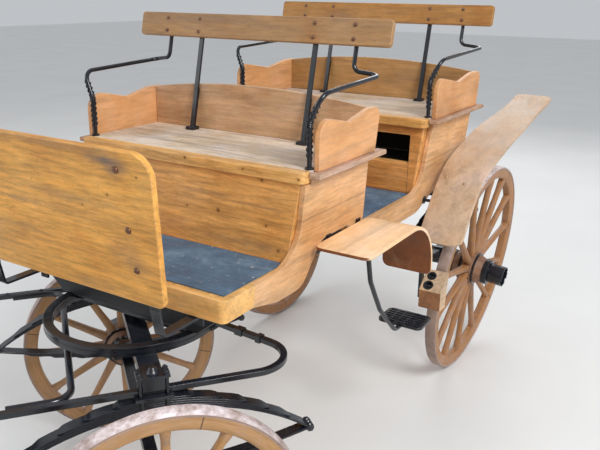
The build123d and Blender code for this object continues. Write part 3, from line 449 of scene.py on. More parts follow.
def tube_through(work, sections):
    """Skins closed sections of equal point counts and caps both ends."""
    rings = [[work.verts.new(point) for point in section] for section in sections]
    count = len(rings[0])
    for here, there in zip(rings, rings[1:]):
        for index in range(count):
            after = (index + 1) % count
            work.faces.new((here[index], here[after], there[after], there[index]))
    work.faces.new(list(reversed(rings[0])))
    work.faces.new(rings[-1])


def skin_round(work, rings, closed=False):
    """Skins lines of points set round an axis, each to the next and the last to the first."""
    count = len(rings[0])
    for here, there in zip(rings, rings[1:] + rings[:1]):
        for step in range(count if closed else count - 1):
            after = (step + 1) % count
            work.faces.new((here[step], here[after], there[after], there[step]))


def lathe(work, profile, segments, closed=True):
    """Turns a line of (x, radius) points about X."""
    skin_round(work, [[work.verts.new((x, r * math.cos(angle), r * math.sin(angle))) for x, r in profile]
                      for angle in angles(segments)], closed)


def lathe_at(work, place, outward, profile, segments=20):
    """Turns (radius, height) points about a line through a place."""
    turn = facing(outward)
    rings = []
    for angle in angles(segments):
        rings.append([work.verts.new(place + turn @ Vector((r * math.cos(angle), r * math.sin(angle), h)))
                      for r, h in profile])
    skin_round(work, rings)


def mirrored(profile, middle=0.0):
    """A profile, then its mirror image about a middle, back to front."""
    return profile + [(2 * middle - x, r) for x, r in reversed(profile)]


def box_into(work, low, high, matrix=Matrix.Identity(4), side=1):
    """A box between two corners, mirrored in X when its side is -1."""
    across = sorted((side * low[0], side * high[0]))
    corners = [Vector((x, y, z)) for x in across for y in (low[1], high[1]) for z in (low[2], high[2])]
    made = [work.verts.new(matrix @ corner) for corner in corners]
    for quad in ((0, 1, 3, 2), (4, 6, 7, 5), (0, 4, 5, 1), (2, 3, 7, 6), (0, 2, 6, 4), (1, 5, 7, 3)):
        work.faces.new([made[index] for index in quad])


def rod_into(work, start, end, radius, sides=12):
    """A round bar between two points, with rounded ends."""
    turn = facing(end - start)
    in_from_end = (end - start).normalized() * radius * 0.25
    rows = ((start, 0.75), (start + in_from_end, 1.0), (end - in_from_end, 1.0), (end, 0.75))
    tube_through(work, [circle(place, turn, radius * share, sides) for place, share in rows])


def dome_into(work, place, outward, radius, height, sides=14):
    """A round headed bolt on a washer."""
    place, outward = Vector(place), Vector(outward).normalized()
    turn = facing(outward)
    rows = ((1.25, -0.0005), (1.25, 0.0012), (1.0, 0.0013), (0.96, 0.45 * height), (0.74, 0.82 * height),
            (0.34, height))
    tube_through(work, [circle(place + outward * lift, turn, radius * share, sides) for share, lift in rows])


def nut_into(work, place, outward, radius, height):
    """A six sided nut with the bolt's end standing out of it."""
    place, outward = Vector(place), Vector(outward).normalized()
    turn = facing(outward)
    for sides, rows in ((6, ((1.0, 0), (1.0, 0.85), (0.85, 1.0))), (10, ((0.5, 0), (0.5, 1.45), (0.4, 1.6)))):
        tube_through(work, [circle(place + outward * height * lift, turn, radius * share, sides)
                            for share, lift in rows])


# CAD pieces with their edges rounded

SOFT_EDGES = {
    "front_curb": 0.003, "side_board_left": 0.003, "side_board_right": 0.003, "front_seat_box": 0.0015,
    "rear_seat_box": 0.002, "seat_boards": 0.004, "seat_rails": 0.006, "arm_panels": 0.004,
    "arm_ledges": 0.005, "backrest_boards": 0.005, "dash_board": 0.004, "step_wings": 0.003,
    "brake_blocks": 0.004, "underframe": 0.004, "rear_spring_bar": 0.004, "splinter_bar": 0.004,
    "futchell_bars": 0.002, "turntable_ring": 0.002, "turntable_bolster": 0.003, "backrest_posts": 0.0015,
    "dash_irons": 0.0015, "wing_irons": 0.0012, "steps": 0.002, "front_axle": 0.003, "rear_axle": 0.003,
    "brake_gear": 0.002, "pole_socket": 0.002,
}

# Heights at which a copy is cut level, and the side that goes: 1 for what is above, -1 for what is below
CUTS = {"wing_irons": (1.046, 1), "dash_irons": (1.000, -1)}


def softened(node, width):
    """A copy of a CAD piece with rounded edges, in the same place."""
    mesh = nodes[node].data.copy()
    work = bmesh.new()
    work.from_mesh(mesh)
    bmesh.ops.remove_doubles(work, verts=work.verts, dist=0.00002)
    bmesh.ops.dissolve_limit(work, angle_limit=math.radians(0.5), verts=work.verts, edges=work.edges)
    if node in CUTS:
        height, outward = CUTS[node]
        made = bmesh.ops.bisect_plane(work, geom=work.verts[:] + work.edges[:] + work.faces[:], dist=0.00001,
                                      plane_co=(0, 0, height), plane_no=(0, 0, outward), clear_outer=True)
        rims = [item for item in made["geom_cut"] if isinstance(item, bmesh.types.BMEdge)]
        bmesh.ops.holes_fill(work, edges=rims)
    work.to_mesh(mesh)
    work.free()
    mesh.shade_smooth()
    if "custom_normal" in mesh.attributes:
        mesh.attributes.remove(mesh.attributes["custom_normal"])
    piece = new_object(node + "_soft", mesh, PAINT.get(node, black_iron), body_of(node))
    round_edges(piece, width, 35)
    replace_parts(piece, node)


for node, width in SOFT_EDGES.items():
    softened(node, width)
for node, piece in nodes.items():
    if node not in SOFT_EDGES:
        piece.data.materials.clear()
        piece.data.materials.append(PAINT.get(node, black_iron))


# Wheels, in metres

WHEELS = ("front_left", "front_right", "rear_left", "rear_right")
RADII = {"front": 0.400, "rear": 0.525}
SPOKES = {"front": 12, "rear": 14}
TYRE_WIDTH = 0.050
TYRE_THICKNESS = 0.010
FELLOE_DEPTH = 0.046
FELLOE_WIDTH = 0.046
DISH = 0.016
NAVE_RADIUS = 0.082
NAVE_END_RADIUS = 0.060
NAVE_LENGTH = 0.196
NAVE_START = -DISH - NAVE_LENGTH / 2
NAVE_END = -DISH + NAVE_LENGTH / 2
BORE_RADIUS = 0.0205
SPOKE_TENON = 0.012
BAND_WIDTH = 0.022
RING_WIDTH = 0.009
FACE_PLATE = 0.006
CAP_RADIUS = 0.050
CAP_LENGTH = 0.082
CAP_TORN = 0.012
CAP_RAGGED = 0.004
CAP_DENT = 0.0018

# Along a spoke from nave to rim: share of its length, width, depth and the rounding of its corners
SPOKE_ROWS = (
    (0.0, 0.030, 0.040, 0.008), (0.10, 0.034, 0.040, 0.013), (0.22, 0.031, 0.036, 0.0145),
    (0.45, 0.028, 0.033, 0.0135), (0.70, 0.026, 0.030, 0.0128), (0.86, 0.026, 0.030, 0.0128),
    (0.93, 0.030, 0.033, 0.012), (1.0, 0.031, 0.034, 0.011))


def wheel_wood(name, tone, spokes, rim_radius):
    """Bent grain round the rim, straight grain along the spokes, with dark joints between felloes."""
    graph = Graph(name)
    split = graph.node("ShaderNodeSeparateXYZ", {"Vector": graph.coordinates})
    x, y, z = (split.outputs[axis] for axis in "XYZ")
    angle = graph.maths("ARCTAN2", z, y)
    radius = graph.maths("SQRT", graph.plus(graph.times(y, y), graph.times(z, z)))
    arc = graph.times(angle, rim_radius)
    round_rim = graph.node("ShaderNodeCombineXYZ", {"X": arc, "Y": radius, "Z": x}).outputs[0]
    down_spoke = graph.node("ShaderNodeCombineXYZ", {"X": radius, "Y": arc, "Z": x}).outputs[0]
    on_rim = graph.maths("GREATER_THAN", radius, rim_radius - FELLOE_DEPTH / 2)
    ways = {0: on_rim, 4: down_spoke, 5: round_rim}
    place = graph.node("ShaderNodeMix", ways, data_type="VECTOR").outputs[1]
    broad = graph.noise(graph.stretched((3.0, 26.0, 26.0), place), 1.5, 6, 0.62, 0.8)
    graph.paint = graph.ramp(broad, (0.32, shade(tone, 0.78, 1.1, 0.8)), (0.5, tone),
                             (0.68, shade(tone, 1.15, 1, 1.3)))
    fine = graph.noise(graph.stretched((12.0, 140.0, 140.0), place), 1.7, 8, 0.7)
    graph.lay(0.45, graph.ramp(fine, (0.4, 0.55), (0.56, 1.0)), "MULTIPLY")
    worn = graph.noise(graph.coordinates, 9.0, 8, 0.7)
    graph.lay(graph.ramp(worn, (0.50, 0.0), (0.68, 0.60)), (0.42, 0.27, 0.19))
    dirt = graph.ramp(graph.noise(graph.coordinates, 28.0, 7, 0.75), (0.48, 0.0), (0.64, 0.7))
    graph.lay(graph.times(dirt, graph.minus(1.0, on_rim)), (0.27, 0.17, 0.125))
    graph.lay(graph.edges(WHEEL_EDGE, 0.6), (0.60, 0.42, 0.29))
    share = graph.maths("FRACT", graph.maths("DIVIDE", angle, 4 * math.pi / spokes))
    off_joint = graph.maths("ABSOLUTE", graph.minus(share, 0.25))
    joint = graph.times(graph.ramp(off_joint, (0.0030, 0.9), (0.0060, 0.0)), on_rim)
    graph.lay(joint, (0.05, 0.025, 0.012))
    return graph.finished(graph.ramp(broad, (0.3, 0.40), (0.7, 0.60)),
                          graph.minus(fine, graph.times(joint, 2.0)), 0.3, 0.001)


wheel_woods = {}
for end, radius in RADII.items():
    rim_middle = radius - TYRE_THICKNESS - FELLOE_DEPTH / 2
    wheel_woods[end] = wheel_wood(end + "_wheel_wood", WHEEL[end], SPOKES[end], rim_middle)


def wheel_matrix(place):
    """The wheel's own frame: origin in the hub, X outward along the axle."""
    joint = joints[place + "_spin"]
    outward = Vector(joint["axis"]).normalized() * (1 if "left" in place else -1)
    up = (Vector((0, 0, 1)) - outward * outward.z).normalized()
    matrix = Matrix((outward, up.cross(outward), up)).transposed().to_4x4()
    matrix.translation = Vector(joint["pos_m"])
    return matrix


def rounded_section(width, depth, radius, steps=4):
    """A closed rounded rectangle as (across, along the axle) points."""
    points = []
    for corner, (sx, sy) in enumerate(((1, 1), (-1, 1), (-1, -1), (1, -1))):
        for step in range(steps + 1):
            angle = math.pi / 2 * (corner + step / steps)
            points.append((sx * (width / 2 - radius) + radius * math.cos(angle),
                           sy * (depth / 2 - radius) + radius * math.sin(angle)))
    return points


def wheel_rim(end):
    """Felloes with eased inner corners, and spokes that swell where they meet the nave and the rim."""
    work = bmesh.new()
    outer = RADII[end] - TYRE_THICKNESS - 0.0002
    inner = outer - FELLOE_DEPTH
    half = FELLOE_WIDTH / 2
    lathe(work, mirrored([(-half, outer), (-half, inner + 0.012), (-half + 0.003, inner + 0.005),
                          (-half + 0.009, inner)]), 168)
    foot = NAVE_RADIUS - SPOKE_TENON
    for angle in angles(SPOKES[end]):
        turn = Matrix.Rotation(angle, 3, "X")
        spoke = []
        for share, width, depth, rounding in SPOKE_ROWS:
            reach = foot + share * (inner + 0.003 - foot)
            lean = -DISH * (1 - share)
            spoke.append([turn @ Vector((lean + along, across, reach))
                          for across, along in rounded_section(width, depth, rounding)])
        tube_through(work, spoke)
    return work


def wheel_nave():
    """The turned nave, with its bore."""
    work = bmesh.new()
    half = [(NAVE_START, BORE_RADIUS), (NAVE_START, NAVE_END_RADIUS - 0.002),
            (NAVE_START + 0.024, NAVE_END_RADIUS), (NAVE_START + 0.034, NAVE_END_RADIUS + 0.004),
            (NAVE_START + 0.052, NAVE_END_RADIUS + 0.010), (-DISH - 0.030, NAVE_RADIUS - 0.006),
            (-DISH - 0.024, NAVE_RADIUS)]
    lathe(work, mirrored(half, -DISH), 64)
    return work


def wheel_tread(end):
    """The iron tyre, with its outer corners eased."""
    work = bmesh.new()
    radius, low = RADII[end], -TYRE_WIDTH / 2
    lathe(work, mirrored([(low, radius - TYRE_THICKNESS), (low, radius - 0.003), (low + 0.004, radius)]), 120)
    return work


def torn_cap(work, start, kind, segments=72):
    """The hub's sleeve: dented, its outer rim worn ragged, with a boss and pin inside."""
    rings = []
    for angle in angles(segments):
        spot = Vector((math.cos(angle), math.sin(angle), 3.7 * kind))
        torn = CAP_TORN * max(0.0, noise.noise(2.6 * spot)) + CAP_RAGGED * abs(noise.noise(9 * spot))
        end = start + CAP_LENGTH - 0.006 - torn
        radius = CAP_RADIUS - 0.0012 + CAP_DENT * noise.noise(2.0 * spot)
        profile = ((start, radius - 0.001), (start + 0.004, radius), (start + 0.030, radius - 0.0008),
                   (end - 0.012, radius + 0.0006), (end, radius), (end, radius - 0.005),
                   (end - 0.022, radius - 0.006), (end - 0.024, 0.016), (end - 0.014, 0.014),
                   (end - 0.012, 0.0001))
        rings.append([work.verts.new((x, r * math.cos(angle), r * math.sin(angle))) for x, r in profile])
    skin_round(work, rings)


def wheel_irons(kind):
    """Bands round the nave's ends, rings beside the spokes, a face plate and the torn cap."""
    work = bmesh.new()
    for low in (NAVE_START, NAVE_END - BAND_WIDTH):
        lathe(work, mirrored([(low, NAVE_END_RADIUS - 0.001), (low, NAVE_END_RADIUS + 0.003),
                              (low + 0.001, NAVE_END_RADIUS + 0.004)], low + BAND_WIDTH / 2), 64)
    for low in (-DISH - 0.040, -DISH + 0.031):
        face = [(low, NAVE_RADIUS - 0.012), (low, NAVE_RADIUS - 0.001)]
        lathe(work, mirrored(face, low + RING_WIDTH / 2), 64)
    plate = NAVE_END + FACE_PLATE
    lathe(work, [(NAVE_END, 0.0001), (NAVE_END, NAVE_END_RADIUS + 0.003),
                 (plate - 0.001, NAVE_END_RADIUS + 0.003), (plate, NAVE_END_RADIUS),
                 (plate, CAP_RADIUS - 0.006), (plate, 0.0001)], 48, closed=False)
    torn_cap(work, plate, kind)
    return work


def make_wheel(kind, place):
    """A wheel's wood, tyre and irons, riding its own body."""
    end = place.split("_")[0]
    for name, work, material, node in (
            ("_rim", wheel_rim(end), wheel_woods[end], "_wheel"),
            ("_nave", wheel_nave(), nave_wood, "_wheel"),
            ("_tread", wheel_tread(end), tyre_iron, "_tyre"),
            ("_irons", wheel_irons(kind), black_iron, "_hub")):
        mesh = finish_mesh(work, place + name)
        piece = new_object(place + name, mesh, material, place + "_wheel",
                           wheel_matrix(place))
        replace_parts(piece, place + node)


for kind, place in enumerate(WHEELS):
    make_wheel(kind, place)


# Springs

GEAR_TURN = math.radians(-38.4)
kingpin = Vector(joints["front_steering"]["pos_m"])
gear_frame = Matrix.Translation((kingpin.x, kingpin.y, 0)) @ Matrix.Rotation(GEAR_TURN, 4, "Z")
rear_frame = Matrix.Translation((0, joints["rear_left_spin"]["pos_m"][1], 0))
SPRINGS = {
    "front": {"frame": gear_frame, "body": "front_gear", "half": 0.480, "rise": 0.158, "drop": 0.062},
    "rear": {"frame": rear_frame, "body": "carriage", "half": 0.490, "rise": 0.140, "drop": 0.080},
}
SPRING_SPREAD = 0.840
SPRING_WIDTH = 0.045
LEAF = 0.007
LEAF_GAP = 0.0007
LEAF_CHAMFER = 0.0014
LEAF_TAPER = 0.022
UPPER_LEAVES = 6
LOWER_LEAVES = 5
SHORTEST_CUT = 0.78
SADDLE = 0.010
SADDLE_LENGTH = 0.110
EYE_RADIUS = 0.014
EYE_BOLT_RADIUS = 0.009
CLIP_RADIUS = 0.0055
CLIP_PLACES = (-0.036, 0.036)


def leaves_into(work, matrix, half, rise, leaves, sign):
    """One half of an elliptic spring, leaf by leaf, each with a narrowed end."""
    radius = (half * half + rise * rise) / (2 * rise)
    full = math.atan2(half, radius - rise)
    half_leaf = (LEAF - LEAF_GAP) / 2
    steps = 28
    for index in range(leaves):
        reach = full * (1 - SHORTEST_CUT * index / (leaves - 1))
        sections = []
        for step in range(steps + 1):
            angle = -reach + 2 * reach * step / steps
            from_end = (reach - abs(angle)) * radius / LEAF_TAPER
            narrow = 1.0 if index == 0 else min(1.0, 0.55 + 0.45 * from_end)
            thin = 1.0 if index == 0 else min(1.0, 0.45 + 0.55 * from_end)
            wide = SPRING_WIDTH / 2 * narrow
            inset = wide - LEAF_CHAMFER
            section = []
            for x, h in ((wide, -0.4), (wide, 0.4), (inset, 1.0), (-inset, 1.0), (-wide, 0.4), (-wide, -0.4),
                         (-inset, -1.0), (inset, -1.0)):
                r = radius + LEAF * index + half_leaf * (h * thin - 1 + thin)
                z = sign * (rise - radius + r * math.cos(angle))
                section.append(matrix @ Vector((x, r * math.sin(angle), z)))
            sections.append(section)
        tube_through(work, sections)


def eye_into(work, matrix, y):
    """A spring's rolled eye in three parts, on a bolt with a nut at each end."""
    across = SPRING_WIDTH / 2
    rods = [(-across, -across / 3, EYE_RADIUS, 18), (-across / 3 + 0.001, across / 3 - 0.001, EYE_RADIUS, 18),
            (across / 3, across, EYE_RADIUS, 18), (-across - 0.004, across + 0.004, EYE_BOLT_RADIUS, 12)]
    for x_low, x_high, radius, sides in rods:
        rod_into(work, matrix @ Vector((x_low, y, 0)), matrix @ Vector((x_high, y, 0)), radius, sides)
    for out in SIDES:
        outward = matrix.to_3x3() @ Vector((out, 0, 0))
        nut_into(work, matrix @ Vector((out * across, y, 0)), outward, 0.0125, 0.0035)


def saddle_into(work, matrix, low, pack, outward):
    """A plate above or below a spring's middle, clipped to the leaves by two bent bolts."""
    half_width = SPRING_WIDTH / 2 + 0.008
    high = low + SADDLE
    box_into(work, (-half_width, -SADDLE_LENGTH / 2, low), (half_width, SADDLE_LENGTH / 2, high), matrix)
    inner = high if outward > 0 else low
    reach = inner + outward * (pack + 0.012)
    bar_low, bar_high = sorted((reach - outward * 0.006, reach))
    for y in CLIP_PLACES:
        for x in (-half_width + 0.003, half_width - 0.003):
            rod_into(work, matrix @ Vector((x, y, inner - outward * 0.004)), matrix @ Vector((x, y, reach)),
                     CLIP_RADIUS)
        box_into(work, (-half_width, y - 0.009, bar_low), (half_width, y + 0.009, bar_high), matrix)


def make_springs(end):
    spec = SPRINGS[end]
    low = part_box(end + "_springs")[0].z
    lower_pack, upper_pack = (LEAF * (leaves - 0.5) for leaves in (LOWER_LEAVES, UPPER_LEAVES))
    eye_z = low + SADDLE + spec["drop"] + lower_pack
    work = bmesh.new()
    for side in SIDES:
        flat = spec["frame"] @ Matrix.Translation((side * SPRING_SPREAD / 2, 0, 0))
        level = flat @ Matrix.Translation((0, 0, eye_z))
        leaves_into(work, level, spec["half"], spec["rise"], UPPER_LEAVES, 1)
        leaves_into(work, level, spec["half"], spec["drop"], LOWER_LEAVES, -1)
        for tail in SIDES:
            eye_into(work, level, tail * spec["half"])
        saddle_into(work, flat, low, lower_pack, 1)
        saddle_into(work, flat, eye_z + spec["rise"] + upper_pack, upper_pack, -1)
    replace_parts(joined(end + "_spring_leaves", work, black_iron, spec["body"]), end + "_springs")


for end in SPRINGS:
    make_springs(end)


# The body's own lines

FLARE = math.radians(6)
BACKREST_LEAN = math.radians(13)
DASH_LEAN = math.radians(10)
FLOOR = 1.000
FLOOR_HALF_WIDTH = 0.478
SEATS = (
    {"top": 1.306, "back": -0.181, "rail": -0.627},
    {"top": 1.340, "back": 0.893, "rail": 0.339},
)
SEAT_BOARD = 0.024
SEAT_INSET = 0.005


def side_x(z):
    """Half the body's width outside its boards at a height."""
    return FLOOR_HALF_WIDTH + (z - FLOOR) * math.tan(FLARE)


def seat_half(seat):
    return side_x(seat["top"] - SEAT_BOARD) - SEAT_INSET


def direction_at(line, index):
    """Which way a line of points runs at one of them."""
    return (line[min(index + 1, len(line) - 1)] - line[max(index - 1, 0)]).normalized()


def arc_points(start, corner, end, steps):
    """A smooth bend from a start to an end, drawn towards a corner."""
    shares = [step / steps for step in range(steps + 1)]
    return [(1 - t) ** 2 * start + 2 * t * (1 - t) * corner + t * t * end for t in shares]


# Low backs and fenders, in the place of the CAD's simpler boards

LOW_BACK_HEIGHT = 0.190
LOW_BACK_CROWN = 0.036
LOW_BACK_FACES = (-0.024, -0.008)
CROWN_STEPS = 32
FENDER_INNER = 0.512
FENDER_WIDTH = 0.200
FENDER_THICKNESS = 0.015
FENDER_CORNER = 0.034
FENDER_CHAMFER = 0.003
FENDER_PIN = (0.703, 1.072)
FENDER_STEPS = 8

# The fender's top face: place, height, and how far its outer edge hangs below its inner edge
FENDER_LINE = (
    (0.312, 0.817, 0.000), (0.448, 0.977, 0.004), (0.520, 1.044, 0.014), (0.603, 1.096, 0.026),
    (0.743, 1.138, 0.034), (0.963, 1.188, 0.034), (1.203, 1.224, 0.020), (1.383, 1.250, 0.000),
    (1.553, 1.278, 0.000), (1.656, 1.304, 0.000))


def replaced_board(node, work, material, width):
    """A board made here in the place of a CAD node."""
    piece = joined(node + "_board", work, material, body_of(node))
    round_edges(piece, width, 60)
    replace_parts(piece, node)


def low_back_boards():
    """The low backs, with a crowned top."""
    work = bmesh.new()
    for seat in SEATS:
        half = seat_half(seat)
        radius = (half ** 2 + LOW_BACK_CROWN ** 2) / (2 * LOW_BACK_CROWN)
        outline = [(-half, 0), (half, 0)]
        for step in range(CROWN_STEPS + 1):
            x = half * (1 - 2 * step / CROWN_STEPS)
            outline.append((x, LOW_BACK_HEIGHT - radius + math.sqrt(radius ** 2 - x ** 2)))
        tube_through(work, [[Vector((x, seat["back"] + face, seat["top"] + z)) for x, z in outline]
                            for face in LOW_BACK_FACES])
    return work


def fender_station(place):
    """The fender line's smoothed place, height and droop, between its rows 0 to the last."""
    last = len(FENDER_LINE) - 1
    index = min(int(place), last - 1)
    t = place - index
    rows = [FENDER_LINE[min(max(index + shift, 0), last)] for shift in (-1, 0, 1, 2)]
    return [0.5 * (2 * b + (c - a) * t + (2 * a - 5 * b + 4 * c - d) * t ** 2
                   + (3 * b - a - 3 * c + d) * t ** 3) for a, b, c, d in zip(*rows)]


def on_fender(x, y):
    """The height of a fender's top face and its slope at a place."""
    low, high = 0.0, len(FENDER_LINE) - 1.0
    for _ in range(30):
        middle = (low + high) / 2
        if fender_station(middle)[0] < y:
            low = middle
        else:
            high = middle
    here, ahead = fender_station(low), fender_station(min(low + 0.01, len(FENDER_LINE) - 1))
    droop = here[2] * ((x - FENDER_INNER) / FENDER_WIDTH - 0.5)
    return here[1] - droop, (ahead[1] - here[1]) / (ahead[0] - here[0])


def fender_boards():
    """Bent boards over the rear wheels, arched and with their outer edges drooping."""
    work = bmesh.new()
    count = FENDER_STEPS * (len(FENDER_LINE) - 1)
    stations = [fender_station(index / FENDER_STEPS) for index in range(count + 1)]
    starts = [0.0]
    for here, there in zip(stations, stations[1:]):
        starts.append(starts[-1] + math.hypot(there[0] - here[0], there[1] - here[1]))
    middle = FENDER_INNER + FENDER_WIDTH / 2
    for side in SIDES:
        sections = []
        for index, (y, z, droop) in enumerate(stations):
            before, after = stations[max(index - 1, 0)], stations[min(index + 1, count)]
            slope = math.atan2(after[1] - before[1], after[0] - before[0])
            cut = max(0.0, FENDER_CORNER - min(starts[index], starts[-1] - starts[index]))
            half = FENDER_WIDTH / 2 - FENDER_CORNER + math.sqrt(FENDER_CORNER ** 2 - cut ** 2)
            inset, deep = half - FENDER_CHAMFER, FENDER_THICKNESS - FENDER_CHAMFER
            section = []
            for across, drop in ((-inset, 0), (inset, 0), (half, FENDER_CHAMFER), (half, deep),
                                 (inset, FENDER_THICKNESS), (-inset, FENDER_THICKNESS), (-half, deep),
                                 (-half, FENDER_CHAMFER)):
                height = z - droop * across / FENDER_WIDTH - drop * math.cos(slope)
                section.append(Vector((side * (middle + across), y + drop * math.sin(slope), height)))
            sections.append(section)
        tube_through(work, sections)
    return work


# Irons, bolts and trim

POST_X = 0.267
ARM_IRON_X = 0.433
ARM_IRON_THICKNESS = 0.016
ARM_IRON_INSET = 0.0153
ARM_IRON_BEHIND_RAIL = 0.061
KNEE_RISE = 0.148
KNEE_RADIUS = 0.060
ARM_REST_RISE = 0.242
ARM_REST_OUT = 0.0413
TWIST_START = 0.030
TWIST_PITCH = 0.048
STRANDS = 3
STRAND_RADIUS = 0.0050
STRAND_REACH = 0.0074
BACKREST_FOOT = 0.076
BACKREST_BOLTS = (0.390, 0.440)
BACKREST_FRONT = -0.0222
POST_THICKNESS = 0.009
POST_FOOT = 0.069
POST_FOOT_BOLT = 0.013


def behind_seat(seat, along, off):
    """A point along a seat's leaning backrest, off its posts' front face."""
    y = seat["back"] - BACKREST_FOOT + along * math.sin(BACKREST_LEAN) + off * math.cos(BACKREST_LEAN)
    z = seat["top"] + along * math.cos(BACKREST_LEAN) - off * math.sin(BACKREST_LEAN)
    return y, z


def backrest_bolts():
    """Bolts through the backrests' boards, with nuts behind, and bolts at the posts' feet."""
    domes, nuts = bmesh.new(), bmesh.new()
    forward = Vector((0, -math.cos(BACKREST_LEAN), math.sin(BACKREST_LEAN)))
    for seat in SEATS:
        for x, thick in ((-ARM_IRON_X, ARM_IRON_THICKNESS), (-POST_X, POST_THICKNESS),
                         (POST_X, POST_THICKNESS), (ARM_IRON_X, ARM_IRON_THICKNESS)):
            for along in BACKREST_BOLTS:
                dome_into(domes, (x, *behind_seat(seat, along, BACKREST_FRONT)), forward, 0.0068, 0.005)
                nut_into(nuts, (x, *behind_seat(seat, along, thick)), -forward, 0.008, 0.006)
        for x in (-POST_X, POST_X):
            for back in (-POST_FOOT_BOLT, POST_FOOT_BOLT):
                for out in (-POST_FOOT_BOLT, POST_FOOT_BOLT):
                    place = (x + out, seat["back"] - POST_FOOT + back, seat["top"] + 0.012)
                    dome_into(nuts, place, (0, 0, 1), 0.0035, 0.0025, 10)
    joined("backrest_bolts", domes, bolt_iron)
    joined("backrest_nuts", nuts, black_iron)


def iron_front(seat, side):
    """The middle line of an arm iron, from its foot up past its knee towards its arm rest."""
    x, y, top = side * (seat_half(seat) - ARM_IRON_INSET), seat["rail"] + ARM_IRON_BEHIND_RAIL, seat["top"]
    knee = Vector((x, y, top + KNEE_RISE))
    up = Vector((0, 0, 1))
    lean = Vector((side * ARM_REST_OUT, 0.004, ARM_REST_RISE - KNEE_RISE))
    length = lean.length - TWIST_START
    lean.normalize()
    reach = KNEE_RADIUS * math.tan(up.angle(lean) / 2)
    upright = KNEE_RISE - TWIST_START - reach
    line = [Vector((x, y, top + TWIST_START + upright * step / 20)) for step in range(20)]
    line += arc_points(knee - reach * up, knee, knee + reach * lean, 12)
    return line + [knee + lean * (reach + (length - reach) * step / 12) for step in range(1, 13)]


def twisted_irons():
    """Rope twist round the arm irons' fronts."""
    work = bmesh.new()
    across = Vector((0, 1, 0))
    for seat in SEATS:
        for side in SIDES:
            line = iron_front(seat, side)
            turns = sum((there - here).length for here, there in zip(line, line[1:])) / TWIST_PITCH
            for strand in range(STRANDS):
                sections = []
                for index, middle in enumerate(line):
                    share = index / (len(line) - 1)
                    run = direction_at(line, index)
                    beside = run.cross(across).normalized()
                    angle = 2 * math.pi * (strand / STRANDS + side * turns * share)
                    out = math.cos(angle) * beside + math.sin(angle) * across
                    along = (run + 1.1 * side * run.cross(out)).normalized()
                    thick = STRAND_RADIUS * min(1.0, 0.4 + 8 * min(share, 1 - share))
                    sections.append([middle + STRAND_REACH * out
                                     + thick * (math.cos(a) * out + math.sin(a) * along.cross(out))
                                     for a in angles(8)])
                tube_through(work, sections)
    joined("twisted_irons", work, black_iron)


DASH_BOLT_X = 0.338
DASH_BOLT_HEIGHTS = (1.422, 1.254, 1.134)
DASH_IRON_X = 0.350
DASH_FOOT = (0.0168, 0.0039)
DASH_FOOT_LAP = 0.006
DASH_FOOT_TAB = 0.036
DASH_FOOT_BEND = 0.012


def dash_bolts():
    work = bmesh.new()
    low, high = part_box("dash_board")
    for x in (-DASH_BOLT_X, DASH_BOLT_X):
        for z in DASH_BOLT_HEIGHTS:
            y = low.y + (high.z - z) * math.tan(DASH_LEAN)
            dome_into(work, (x, y, z), (0, -math.cos(DASH_LEAN), -math.sin(DASH_LEAN)), 0.0085, 0.007, 18)
    joined("dash_bolts", work, bolt_iron)


def bent(corners, reach):
    """Points along straight runs with their corners rounded off."""
    line = [corners[0]]
    for before, corner, after in zip(corners, corners[1:], corners[2:]):
        start, end = (corner + reach * (other - corner).normalized() for other in (before, after))
        line += arc_points(start, corner, end, 6)
    return line + [corners[-1]]


def dash_feet():
    """Flat feet below the curb that carry the dash irons on the underframe's front."""
    work = bmesh.new()
    low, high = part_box("dash_irons")
    head = CUTS["dash_irons"][0] + DASH_FOOT_LAP
    start = low.y + (high.z - head) * math.tan(DASH_LEAN) + 0.0041
    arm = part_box("front_curb")[0].z - 0.008
    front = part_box("underframe")[0].y - 0.0045
    line = bent([Vector((start, head)), Vector((start + (head - arm) * math.tan(DASH_LEAN), arm)),
                 Vector((front, arm)), Vector((front, arm - DASH_FOOT_TAB))], DASH_FOOT_BEND)
    wide, thick = DASH_FOOT
    for side in SIDES:
        sections = []
        for index, place in enumerate(line):
            run = direction_at(line, index)
            sections.append([Vector((side * DASH_IRON_X + x, place.x - run.y * off, place.y + run.x * off))
                             for x, off in ((-wide, -thick), (wide, -thick), (wide, thick), (-wide, thick))])
        tube_through(work, sections)
    joined("dash_feet", work, black_iron)


def fender_bolts():
    """A pair of bolts through each fender, and lugs that carry it on its upper pin."""
    bolts, lugs = bmesh.new(), bmesh.new()
    pin_y, pin_z = FENDER_PIN
    for side in SIDES:
        for x, y in ((0.545, 0.531), (0.635, 0.518)):
            z, slope = on_fender(x, y)
            dome_into(bolts, (side * x, y, z), (0, -slope, 1), 0.0060, 0.0038)
        for x in (0.545, 0.650):
            top = on_fender(x, pin_y)[0] - FENDER_THICKNESS - 0.0005
            low, high = (x - 0.012, pin_y - 0.010, pin_z - 0.009), (x + 0.012, pin_y + 0.010, top)
            box_into(lugs, low, high, side=side)
    joined("fender_bolts", bolts, brass)
    joined("fender_lugs", lugs, black_iron)


BLOCK_X = 0.5942
BLOCK_OUTWARD = Vector((0, -0.629, 0.777))
BLOCK_CUPS = ((0.3137, 0.6606, 0.017), (0.2759, 0.6300, 0.019))


def brake_sleeves():
    """Black iron cups in the pockets of the brake blocks."""
    work = bmesh.new()
    for side in SIDES:
        for y, z, radius in BLOCK_CUPS:
            place = Vector((side * BLOCK_X, y, z))
            profile = [(0.0, -0.012), (radius - 0.004, -0.012), (radius - 0.004, 0.001), (radius, 0.0025),
                       (radius + 0.004, 0.0015), (radius + 0.004, -0.001)]
            lathe_at(work, place, BLOCK_OUTWARD, profile)
            nut_into(work, place - 0.012 * BLOCK_OUTWARD, BLOCK_OUTWARD, 0.009, 0.006)
    joined("brake_sleeves", work, black_iron)


